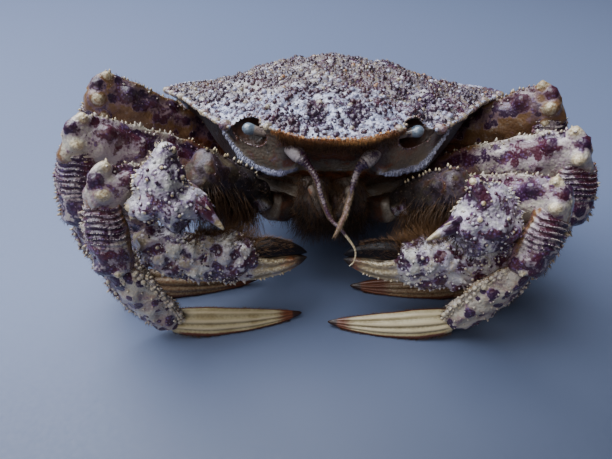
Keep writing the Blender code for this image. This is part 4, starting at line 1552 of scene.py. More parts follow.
    def dress_back(self, skin: Skin) -> None:
        """Granules, finer grains and short hairs over the back.

        Args:
            skin: The surface that is dressed.
        """
        bed = Bed("carapace_granules", 11)
        spots = self.back_spots(skin, self.granules, bed.draw, 0.978)
        y = spots.points[:, 1]
        bare = ease(0.5, 0.3, spots.paint[:, PURPLE]) * ease(-18, -28, y)
        spots = spots.keep(bed.draw.random(spots.count) > 0.25 * bare)
        y = spots.points[:, 1]
        size = bed.draw.uniform(0.6, 1.35, spots.count) * (1 - 0.12 * ease(-28, -10, y))
        size = size * (1 + 0.25 * ease(0.55, 0.75, spots.paint[:, PURPLE]))
        kind = bed.draw.random(spots.count)
        tan = kind < 0.03 + 0.04 * ease(-26, -8, y)
        pale = kind > 0.74 + 0.06 * ease(-26, -8, y) + 0.3 * spots.paint[:, PURPLE] ** 2
        brown = ease(-28, -12, y)[:, None] * np.array((-0.2, 0.7, 0.0, 0.25))
        brown = brown * bed.draw.random((spots.count, 1))
        root = np.where(tan[:, None], Paint.TAN.row * 0.8, Paint.PLUM.row * (0.8, 1, 1, 1))
        tip = np.where(tan[:, None], Paint.TAN.row * 0.8, Paint.PURPLE.row + (0, 0, 0, 0.25)) + brown
        tip = np.where(pale[:, None], spots.paint * 0.3, tip)
        root = np.where(pale[:, None], Paint.PLUM.row * 0.7, root)
        for place, each in zip(spots.points[::3], size[::3]):
            skin.tint(PURPLE, skin.near(place, 0.8 * each) * 0.56)
        bed.plant("granule", spots, 0.70 * size, 0.68 * size, root, tip, lean=0.2)
        dressed(bed.build(), "shell_finish", Slot.SHELL)
        bed = Bed("carapace_grains", 12)
        spots = self.back_spots(skin, self.grains, bed.draw, 0.99)
        kind = bed.draw.random(spots.count)
        y = spots.points[:, 1]
        purple = kind < 0.24 + 0.4 * spots.paint[:, PURPLE]
        cream = (kind > 0.75) & (bed.draw.random(spots.count) < 0.1 + 0.35 * ease(-28, -8, y))
        tip = np.where(cream[:, None], Paint.TAN.row, spots.paint * 0.6)
        tip = np.where(purple[:, None], Paint.PURPLE.row, tip)
        size = bed.draw.uniform(0.6, 1.3, spots.count)
        bed.plant("grain", spots, 0.28 * size, 0.32 * size, spots.paint, tip)
        dressed(bed.build(), "shell_finish", Slot.SHELL)
        hair = Bed("carapace_hair", 13)
        spots = self.back_spots(skin, self.hairs, hair.draw, 0.99)
        y = spots.points[:, 1]
        spots = spots.keep(hair.draw.random(spots.count) < 0.08 + 0.9 * ease(-28, -6, y))
        length = hair.draw.uniform(0.7, 1.5, spots.count)
        hair.comb(spots, 0.7, spots.along)
        lean = hair.draw.uniform(0.6, 1.6, spots.count)
        hair.plant("hair", spots, 0.06, length, Paint.BARE.row, Paint.AMBER.row, lean=lean)
        dressed(hair.build(), "tan_hair_finish", Slot.SHELL)

    def plant_teeth(self, bed: Bed, skin: Skin) -> None:
        """The larger teeth of the margin, each a stout cream, tan or rusty knob.

        Args:
            bed: Takes the planted shapes.
            skin: The surface that is dressed.
        """
        margin = skin.grid[self.margin_row]
        for x, y, size, tone in SHELL_TEETH:
            for side in Side:
                place = body_point(side, x, y, 0.0)
                column = np.argmin(np.hypot(margin[:, 0] - place[0], margin[:, 1] - place[1]))
                spots = skin.spot(self.margin_row - 0.5, column)
                out = unit(spots.points - np.array((BODY_X, -4.0, 50.0)))
                spots.normals = unit(out + np.array((0, 0, 0.15)))
                spots.points = spots.points - out * 0.5
                bed.plant("boss", spots, size * 1.05, size * 1.45, Paint.RUST.row * 0.8, tone.row)

    def plant_rim_beads(self, bed: Bed, skin: Skin, sockets: list[Skin]) -> None:
        """Small beads close along the margin, except over the sockets.

        Args:
            bed: Takes the planted shapes.
            skin: The surface that is dressed.
            sockets: The shapes that cut the eye sockets.
        """
        columns = np.arange(0, self.sides, 0.62)
        columns = columns + bed.draw.uniform(-0.12, 0.12, len(columns))
        spots = skin.spots(np.full(len(columns), self.margin_row - 0.2), columns)
        out = unit(spots.points - np.array((BODY_X, -4.0, 51.0)))
        spots.normals = out
        clear = np.ones(spots.count, bool)
        for socket in sockets:
            middle = socket.grid.mean(axis=(0, 1))
            clear &= np.linalg.norm((spots.points - middle) / np.array((1.0, 1.1, 1.2)), axis=1) > 5.0
        spots = spots.keep(clear)
        front = ease(17, 14, np.abs(spots.points[:, 0] - BODY_X))[:, None] * (spots.points[:, 1:2] < -30)
        kind = bed.draw.random((spots.count, 1))
        tip = np.where(kind < 0.6, Paint.TAN.row, np.where(kind < 0.75, Paint.CREAM.row, Paint.RUST.row))
        tip = tip * (1 - front) + front * np.where(kind < 0.7, Paint.AMBER.row, Paint.TAN.row)
        size = bed.draw.uniform(0.6, 1.2, spots.count)
        size = size * (1.35 - 0.35 * front[:, 0])
        bed.plant("granule", spots, 0.44 * size, 0.55 * size, Paint.PLUM.row * 0.6, tip)

    def plant_socket_beads(
        self, bed: Bed, skin: Skin, sockets: list[Skin], tree: kdtree.KDTree
    ) -> None:
        """Small beads where each socket cuts the shell.

        Args:
            bed: Takes the planted shapes.
            skin: The surface that is dressed.
            sockets: The shapes that cut the eye sockets.
            tree: Finds the nearest point of the shell's skin.
        """
        count = 80
        for socket in sockets:
            middle = socket.grid.mean(axis=(0, 1))
            for column in range(socket.grid.shape[1]):
                line = evenly(socket.grid[:, column], count)
                away = np.array([tree.find(place)[2] for place in line])
                for row in range(1, count - 1):
                    if away[row] < 0.45 and away[row] <= away[row - 1] and away[row] < away[row + 1]:
                        place = line[row]
                        out = unit(place - middle)
                        spot = Spots(
                            (place + out * 0.25)[None], out[None], unit(np.cross(out, (0, 0, 1)))[None],
                            Paint.TAN.row[None], skin.spot(60, column).patch,
                        )
                        size = bed.draw.uniform(0.7, 1.15)
                        tone = Paint.TAN.row if bed.draw.random() < 0.7 else Paint.CREAM.row
                        bed.plant("granule", spot, 0.42 * size, 0.4 * size, Paint.RUST.row, tone)

    def plant_ridge_beads(self, bed: Bed, skin: Skin) -> None:
        """Two rows of pale beads on the ridge under each socket, and grains on the slope below it.

        Args:
            bed: Takes the planted shapes.
            skin: The surface that is dressed.
        """
        ridge = np.nan_to_num(self.ridge_rows, nan=-99.0)
        for below, spacing, size, strength in (
            (-0.6, 0.6, 0.6, 0.0), (0.15, 0.5, 0.95, 0.0), (1.0, 0.55, 0.8, 0.0), (2.8, 0.8, 0.5, 0.3),
        ):
            columns = np.arange(0, self.sides, spacing)
            columns = columns + bed.draw.uniform(-0.1, 0.1, len(columns))
            rows = np.interp(columns, np.arange(self.sides), ridge) - below
            keep = rows > 1.4 * self.wall_steps
            spots = skin.spots(np.where(keep, rows, 1.0), columns).keep(keep)
            out = np.abs(spots.points[:, 0] - BODY_X)
            spots = spots.keep((out > 13.2) & (out < 30.5))
            out = np.abs(spots.points[:, 0] - BODY_X)
            fade = (0.5 + 0.5 * ease(13.0, 16.5, out), 1 - 0.4 * ease(25, 30, out))
            each = bed.draw.uniform(0.75, 1.2, spots.count) * fade[0] * fade[1]
            root = Paint.AMBER.row * strength
            bed.plant(
                "granule", spots, size * each * 0.5, size * each * 0.9, root, Paint.BARE.row, stretch=2.2
            )

    def plant_lip_hair(self, skin: Skin) -> None:
        """Brown bristles under the front margin and over the sides of the mouth.

        Args:
            skin: The surface that is dressed.
        """
        hair = Bed("carapace_lip_hair", 15)
        columns = hair.draw.uniform(-22, 22, self.lip_hairs) % self.sides
        rows = self.margin_row - 0.8 - hair.draw.random(self.lip_hairs) ** 1.5 * 1.6 * self.wall_steps
        spots = skin.spots(rows, columns)
        spots = spots.keep(np.abs(spots.points[:, 0] - BODY_X) < 15)
        hair.comb(spots, 0.6, (0, -0.3, -1.0))
        hair.bristles(spots, (0.8, 2.2), 0.8, 1.2, 0.06)
        columns = hair.draw.uniform(0, self.sides, self.cheek_hairs)
        rows = hair.draw.uniform(0.2, 1.9, self.cheek_hairs) * self.wall_steps
        spots = skin.spots(rows, columns)
        spots = spots.keep(spots.points[:, 1] < 8)
        hair.comb(spots, 0.5, (0, -0.2, -1.0))
        hair.bristles(spots, (0.7, 1.6), 0.7, 1.5, 0.06)
        dressed(hair.build(), "hair_finish", Slot.MOUTHPARTS)

    def brow_spots(
        self, skin: Skin, draw: np.random.Generator, count: int, below: float, stray: float
    ) -> Spots:
        """Spots along the front margin.

        Args:
            skin: The surface that is dressed.
            draw: The random draw.
            count: How many are tried.
            below: How many rows below the margin they lie.
            stray: How many rows they stray.

        Returns:
            The spots near the middle.
        """
        rows = self.margin_row + draw.normal(-below, stray, count)
        spots = skin.spots(rows, draw.uniform(*self.brow_columns, count) % self.sides)
        return spots.keep(np.abs(spots.points[:, 0] - BODY_X) < self.brow_half_width)

    def plant_brow_hair(self, skin: Skin) -> None:
        """Amber bristles and grains along the front margin.

        Args:
            skin: The surface that is dressed.
        """
        bed = Bed("carapace_brow_hair", 16)
        spots = self.brow_spots(skin, bed.draw, self.brow_hairs, 0.4, 0.8)
        bed.comb(spots, 0.5, (0, -0.6, -1.0))
        length = bed.draw.uniform(0.7, 1.9, spots.count)
        across = spots.points[:, :1]
        bright = 0.35 + 0.9 * bell(across - 4.5, 5) + 0.5 * bell(across + 15.5, 2.5)
        tone = bed.draw.uniform(0.4, 1.1, (spots.count, 1)) * bright
        root = Paint.AMBER.row * 0.3 * tone
        bed.plant("hair", spots, 0.08, length, root, Paint.AMBER.row * tone, lean=0.9)
        spots = self.brow_spots(skin, bed.draw, self.brow_grains, 0.2, 0.7)
        size = bed.draw.uniform(0.25, 0.6, spots.count)
        tone = bed.draw.uniform(0.2, 0.9, (spots.count, 1))
        bed.plant("granule", spots, size, size * 0.8, Paint.AMBER.row * 0.2, Paint.AMBER.row * tone)
        dressed(bed.build(), "amber_hair_finish", Slot.SHELL)


class LegPiece(Enum):
    """The four pieces of a walking leg: section, how far it runs past its joint, and how much it arches."""

    MERUS = (Section.MERUS, 3.4, 1.0)
    CARPUS = (Section.CARPUS, 1.6, 0.4)
    PROPODUS = (Section.PROPODUS, 2.6, 0.5)
    DACTYLUS = (Section.DACTYLUS, 0.0, 1.3)

    @property
    def word(self) -> str:
        """The piece's name as the nodes have it."""
        return self.name.lower()


@dataclass
class WalkingLeg:
    """One walking leg, folded: its four pieces with their edges of teeth, knobs and hair."""

    side: Side
    number: int
    joints: tuple[Place, ...]
    scale: float
    toe_lean: Place = (0, -0.5, -0.87)
    hip_space: float = 4.0
    ridge_pitch: float = 1.45
    ridge_beads: int = 22

    def segments(self) -> dict[LegPiece, Segment]:
        """The pieces from the hip to the toe.

        Returns:
            The shape of each piece.
        """
        made = {}
        outside = (self.side.value, 0, 0)
        crests = {
            LegPiece.MERUS: (0, 0, 1), LegPiece.CARPUS: outside,
            LegPiece.PROPODUS: outside, LegPiece.DACTYLUS: self.toe_lean,
        }
        for piece, start, end in zip(LegPiece, self.joints, self.joints[1:]):
            section, overhang, bow = piece.value
            first, last = np.array(start, float), np.array(end, float)
            along = unit(last - first)
            if piece is LegPiece.MERUS:
                first = first + along * self.hip_space
            last = last + along * overhang * self.scale
            made[piece] = Segment(section, first, last, crests[piece], self.scale, LENS, bow * self.scale)
        return made

    @property
    def name(self) -> str:
        """The leg's name as the nodes have it."""
        return f"{self.side.word}_leg_{self.number}"

    def build(self) -> None:
        """Makes and dresses the leg."""
        seed = 100 + self.number * 2 + (self.side is Side.LEFT)
        trim = Bed(f"{self.name}_trim", seed)
        hair = Bed(f"{self.name}_hair", seed + 100)
        for piece, segment in self.segments().items():
            rings = 150 if piece is LegPiece.CARPUS else 96
            skin = segment.skin(rings, 72)
            growth = Growth(skin, segment.length)
            worker = {
                LegPiece.MERUS: self.dress_merus, LegPiece.CARPUS: self.dress_carpus,
                LegPiece.PROPODUS: self.dress_propodus, LegPiece.DACTYLUS: self.dress_toe,
            }[piece]
            worker(growth, trim, hair)
            node = f"{self.name}_{piece.word}"
            look = ("toe_finish", Slot.TOE) if piece is LegPiece.DACTYLUS else ("leg_finish", Slot.LEG)
            dressed(skin.build(f"{node}_skin"), *look, node)
        dressed(trim.build(), "leg_finish", Slot.LEG)
        dressed(hair.build(), "hair_finish", Slot.LEG)

    def edge_teeth(
        self, growth: Growth, bed: Bed, degrees: float, first: float, last: float, spacing: float,
        height: float, tip: Array, spread: float = 7.0,
    ) -> None:
        """A close row of small teeth along an edge.

        Args:
            growth: The piece.
            bed: Where the teeth are gathered.
            degrees: The edge's angle.
            first: Where the row starts.
            last: Where it ends.
            spacing: Distance between teeth, in millimetres.
            height: Their height.
            tip: Paint at their tips.
            spread: How many degrees they stray from the edge.
        """
        count = max(2, int((last - first) * growth.length / spacing))
        shares = np.linspace(first, last, count) + bed.draw.normal(0, 0.2 / growth.length, count)
        angles = degrees + bed.draw.normal(0, spread, count)
        size = bed.draw.uniform(0.45, 1.25, count) * self.scale
        spots = growth.spots(shares, angles)
        tips = tip * bed.draw.uniform(0.3, 0.85, (count, 1)) + spots.paint * (0.3, 0.3, 0.0, 0.3)
        bed.plant("thorn", spots, 0.42 * size, height * size, spots.paint, tips, lean=0.35)

    def knobs(self, growth: Growth, bed: Bed, knobs: Sequence[tuple[float, float, float, Paint]]) -> None:
        """Swollen bosses: share, angle, radius and paint.

        Args:
            growth: The surface, by its length and angle.
            bed: Takes the planted shapes.
            knobs: The share, angle, radius and paint of each.
        """
        skin = growth.skin
        for share, degrees, radius, paint in knobs:
            place = growth.spots(share, degrees).points[0]
            radius = radius * self.scale
            purple = paint is Paint.PURPLE
            skin.tint(PURPLE, skin.near(place, radius * 1.7) * 0.6)
            if not purple:
                skin.clear(PURPLE, skin.near(place, radius * 1.2))
            skin.tint(PURPLE if purple else CREAM, skin.near(place, radius) * (1.0 if purple else 0.62))
            skin.mound(place, radius * bed.draw.uniform(0.95, 1.15), radius * bed.draw.uniform(0.75, 0.95))

    def face_grains(
        self, growth: Growth, bed: Bed, count: int, low: float, high: float, size: float
    ) -> None:
        """Low grains strewn over the faces, darker where the face is stained.

        Args:
            growth: The surface, by its length and angle.
            bed: Takes the planted shapes.
            count: How many.
            low: The lowest share of the length.
            high: The highest share of the length.
            size: Their usual radius in millimetres.
        """
        shares = bed.draw.uniform(low, high, count)
        angles = bed.draw.uniform(0, 360, count)
        spots = growth.spots(shares, angles)
        each = bed.draw.uniform(0.5, 1.3, count) * size
        kind = bed.draw.random((count, 1))
        tip = np.where(kind < 0.35, spots.paint * 0.6, spots.paint + Paint.PURPLE.row * 0.35)
        tip = np.where(kind > 0.90, spots.paint * 0.2 + Paint.CREAM.row * 0.5, tip)
        bed.plant("grain", spots, each, each * 0.6, spots.paint, np.clip(tip, 0, 1))

    def mottle(self, growth: Growth, bed: Bed, count: int, radius: float, strength: float = 0.64) -> None:
        """Round purple marks strewn over the front.

        Args:
            growth: The surface, by its length and angle.
            bed: Gives the random draw.
            count: How many.
            radius: Their usual radius in millimetres.
            strength: How strong the purple is.
        """
        shares, angles = bed.draw.uniform(0.05, 0.97, count), bed.draw.uniform(-70, 78, count)
        sizes = radius * bed.draw.uniform(0.35, 1.3, count)
        growth.blots(tuple(zip(shares, angles, sizes)), self.scale, strength)

    def fringe(
        self, growth: Growth, bed: Bed, degrees: float, spread: float, count: int, length: float,
        low: float = 0.05, high: float = 0.97,
    ) -> None:
        """A fringe of bristles along an edge.

        Args:
            growth: The surface, by its length and angle.
            bed: Takes the bristles.
            degrees: The angle of the edge.
            spread: How many degrees they stray.
            count: How many.
            length: Their usual length in millimetres.
            low: The lowest share of the length.
            high: The highest share of the length.
        """
        shares = bed.draw.uniform(low, high, count)
        spots = growth.spots(shares, degrees + bed.draw.normal(0, spread, count))
        bed.comb(spots, 0.35, spots.along)
        tall = bed.draw.uniform(0.5, 1.2, count) * length
        bed.plant("hair", spots, 0.05, tall, Paint.BARE.row, Paint.AMBER.row * 0.8, lean=0.8)

    def dress_merus(self, growth: Growth, bed: Bed, hair: Bed) -> None:
        """The upper leg: a pale serrate crest, a purple band, brown near the hip, knobs at the knee.

        Args:
            growth: The surface, by its length and angle.
            bed: Takes the planted shapes.
            hair: Takes the bristles.
        """
        skin, share = growth.skin, growth.share
        rear = self.number >= 3
        skin.lift(0.35 * lumpy(skin.grid, 3.4, self.number) * ease(0.2, 0.5, share))
        skin.lift(0.5 * growth.edge(90, 14) * ease(0.02, 0.2, share))
        skin.lift(-0.55 * growth.edge(62, 12) * ease(0.1, 0.3, share) * ease(1.0, 0.8, share))
        skin.tint(AMBER, (0.92 if rear else 0.8) * ease(0.74 if rear else 0.55, 0.35, share))
        skin.tint(AMBER, 0.52 if rear else 0.22)
        skin.tint(AMBER, ease(35, 75, -growth.angle) * 0.45)
        skin.tint(DIRT_AND_SHADE, 0.36 if rear else 0.0)
        skin.tint(PURPLE, 0.18 if rear else 0.36)
        band = np.exp(-(growth.off(46) / 34) ** 4) * ease(0.1, 0.35, share) * ease(1.0, 0.86, share)
        skin.tint(PURPLE, band * (0.50 if rear else 0.62))
        if rear:
            growth.blots(REAR_MERUS_MARKS, self.scale, 0.72)
        skin.clear(PURPLE, ease(8, 40, -growth.angle) * ease(150, 120, np.abs(growth.angle)) * 0.6)
        crest = growth.edge(90, 13) * ease(0.1, 0.5, share)
        skin.tint(CREAM, crest * 0.42)
        skin.clear(PURPLE, crest * 0.6)
        growth.blots(MERUS_MARKS, self.scale, 0.85)
        self.knobs(growth, bed, MERUS_KNOBS)
        self.mottle(growth, bed, 12 if rear else 9, 1.1)
        self.edge_teeth(growth, bed, 90, 0.12, 0.93, 1.25, 0.8, Paint.CREAM.row)
        self.edge_teeth(growth, bed, 76, 0.35, 0.95, 2.2, 0.45, Paint.CREAM.row * 0.5, 11)
        self.face_grains(growth, bed, 340, 0.25, 0.98, 0.16)
        self.fringe(growth, hair, 88, 7, 260, 1.2, high=0.9)
        self.fringe(growth, hair, -90, 16, 240, 1.3, high=0.9)

    def dress_carpus(self, growth: Growth, bed: Bed, hair: Bed) -> None:
        """The knee piece: purple, with wavy ridges across its upper half and a serrate outer edge.

        Args:
            growth: The surface, by its length and angle.
            bed: Takes the planted shapes.
            hair: Takes the bristles.
        """
        skin, share = growth.skin, growth.share
        face = ease(110, 65, growth.off(10))
        reach = ease(0.03, 0.10, share) * ease(0.68, 0.48, share) * face
        swing = 0.016 * np.sin(np.radians(growth.angle) * 3 + self.number)
        swing = swing + 0.010 * lumpy(skin.grid, 3.0, 40)
        waves = np.sin((share + swing) * growth.length * math.tau / self.ridge_pitch)
        skin.lift(0.3 * lumpy(skin.grid, 3.0, 30 + self.number) * (1 - reach))
        skin.lift(0.26 * waves * reach)
        skin.lift(0.35 * growth.edge(90, 16) * ease(0.02, 0.15, share))
        skin.tint(PURPLE, reach * 0.66)
        skin.tint(PURPLE, ease(0.35, 0.6, share) * face * 0.50)
        skin.tint(PURPLE, 0.38)
        growth.blots(CARPUS_MARKS, self.scale, 0.8)
        chips = np.clip(waves, 0, 1) ** 3 * reach * 0.30
        skin.clear(PURPLE, chips * np.clip(lumpy(skin.grid, 0.9, 50), 0, 1))
        skin.tint(CREAM, growth.edge(90, 15) * 0.46)
        skin.tint(AMBER, growth.edge(90, 20) * 0.45)
        skin.clear(PURPLE, growth.edge(90, 17) * 0.65)
        skin.tint(AMBER, ease(60, 110, growth.off(20)) * 0.85)
        skin.tint(AMBER, 0.3 if self.number >= 2 else 0.1)
        growth.blots(((0.95, 30, 2.2),), 1.0, 0.9)
        self.knobs(growth, bed, ((0.05, 35, 1.0, Paint.TAN), (0.95, -25, 1.1, Paint.CREAM)))
        self.mottle(growth, bed, 9, 1.1)
        count = self.ridge_beads
        for number in range(1, int(0.6 * growth.length / self.ridge_pitch)):
            angles = -62 + 7 * np.arange(count) + bed.draw.normal(0, 2, count)
            swing = 0.016 * np.sin(np.radians(angles) * 3 + self.number)
            spots = growth.spots((number + 0.25) * self.ridge_pitch / growth.length - swing, angles)
            tip = spots.paint * bed.draw.uniform(0.25, 0.8, (count, 1))
            radius = bed.draw.uniform(0.16, 0.30, count)
            bed.plant("grain", spots, radius, 0.30, Paint.PURPLE.row * 0.8, tip, stretch=0.7)
        self.edge_teeth(growth, bed, 90, 0.06, 0.96, 1.15, 0.9, Paint.CREAM.row, 8)
        for degrees in (68, 112):
            self.edge_teeth(growth, bed, degrees, 0.10, 0.96, 2.0, 0.5, Paint.TAN.row, 10)
        self.face_grains(growth, bed, 200, 0.45, 0.98, 0.17)
        self.fringe(growth, hair, 92, 12, 220, 1.1)
        self.fringe(growth, hair, -80, 24, 160, 1.2, 0.2)

    def dress_propodus(self, growth: Growth, bed: Bed, hair: Bed) -> None:
        """The shin: a pale blade with purple patches, and beige teeth along both edges.

        Args:
            growth: The surface, by its length and angle.
            bed: Takes the planted shapes.
            hair: Takes the bristles.
        """
        skin, share = growth.skin, growth.share
        rear = self.number >= 2
        skin.lift(0.28 * lumpy(skin.grid, 2.6, 60 + self.number) * ease(0.0, 0.15, share))
        skin.lift(0.4 * growth.edge(90, 14) - 0.6 * growth.edge(60, 14) * ease(0, 0.2, share))
        skin.lift(0.35 * growth.edge(-90, 14) - 0.3 * growth.edge(-60, 12))
        skin.tint(PURPLE, 0.40 if rear else 0.22)
        skin.tint(PURPLE, growth.edge(60, 18) * (0.66 if rear else 0.74))
        skin.tint(CREAM, 0.40)
        skin.tint(AMBER, ease(95, 150, growth.off(10)) * 0.9)
        skin.tint(AMBER, 0.40 if rear else 0.26)
        for degrees in (90, -90):
            edge = growth.edge(degrees, 15)
            skin.tint(CREAM, edge * 0.44)
            skin.tint(AMBER, edge * 0.4)
            skin.clear(PURPLE, edge * 0.7)
        growth.blots(PROPODUS_MARKS, self.scale, 0.74)
        for row in (
            (90, 0.06, 0.95, 1.1, 0.95, Paint.CREAM.row, 7),
            (74, 0.10, 0.95, 1.7, 0.5, Paint.TAN.row, 9),
            (-90, 0.10, 0.92, 1.2, 0.75, Paint.CREAM.row, 8),
            (-68, 0.12, 0.9, 1.4, 0.6, Paint.CREAM.row * 0.8, 8),
        ):
            self.edge_teeth(growth, bed, *row)
        self.mottle(growth, bed, 26, 1.35, 0.72)
        self.face_grains(growth, bed, 150, 0.06, 0.97, 0.17)
        count = 15
        for degrees, size in ((66, 0.62), (-64, 0.66), (-80, 0.7)):
            spots = growth.spots(np.linspace(0.1, 0.93, count), degrees + bed.draw.normal(0, 3, count))
            each = bed.draw.uniform(0.6, 1.2, count) * size * self.scale
            bed.plant("granule", spots, each, each, spots.paint * 0.5, Paint.CREAM.row * 0.55, stretch=1.2)
        for degrees in (34, 2, -34):
            self.edge_teeth(growth, bed, degrees, 0.12, 0.92, 2.2, 0.4, Paint.CREAM.row * 0.7, 10)
        self.fringe(growth, hair, 92, 12, 260, 1.3)
        self.fringe(growth, hair, -90, 16, 260, 1.4)

    def dress_toe(self, growth: Growth, bed: Bed, hair: Bed) -> None:
        """The toe: a straw coloured blade with grooves along it, rusty at its lower edge and tip.

        Args:
            growth: The surface, by its length and angle.
            bed: Not used.
            hair: Takes the bristles.
        """
        skin, share = growth.skin, growth.share
        fade = ease(0.02, 0.12, share) * ease(0.98, 0.8, share)
        for degrees, depth, width in TOE_GROOVES:
            skin.lift(-depth * growth.edge(degrees, width) * fade)
            pits = 0.65 + 0.35 * np.sin(share * growth.length * math.tau / 1.3 + degrees)
            skin.tint(DIRT_AND_SHADE, growth.edge(degrees, width * 0.42) * fade * pits * 0.5)
        for degrees, width in ((-12, 10), (-50, 9), (24, 8)):
            skin.tint(CREAM, growth.edge(degrees, width) * ease(0.98, 0.75, share) * 0.7)
        # Toes of the rear legs, behind the palm, are painted browner and darker: partly their own brown,
        # partly painted shade.
        behind = self.number >= 2
        upper = ease(36, 58, growth.angle) * ease(160, 120, growth.angle)
        skin.tint(AMBER, upper * ease(0.0, 0.15, share) * 0.95)
        skin.clear(CREAM, ease(38, 52, growth.angle))
        skin.tint(AMBER, ease(20, 8, growth.off(-90)) * 0.9)
        skin.tint(AMBER, ease(0.66, 0.98, share) + (0.54 if behind else 0.0))
        skin.tint(PURPLE, ease(0.88, 0.97, share) + (0.14 if behind else 0.0))
        if behind:
            skin.tint(DIRT_AND_SHADE, 0.22)
            skin.clear(CREAM, 0.7)
        for degrees, count, length in ((78, 420, 0.9), (100, 300, 0.8), (-90, 220, 0.7)):
            self.fringe(growth, hair, degrees, 6, count, length, 0.03, 0.9)


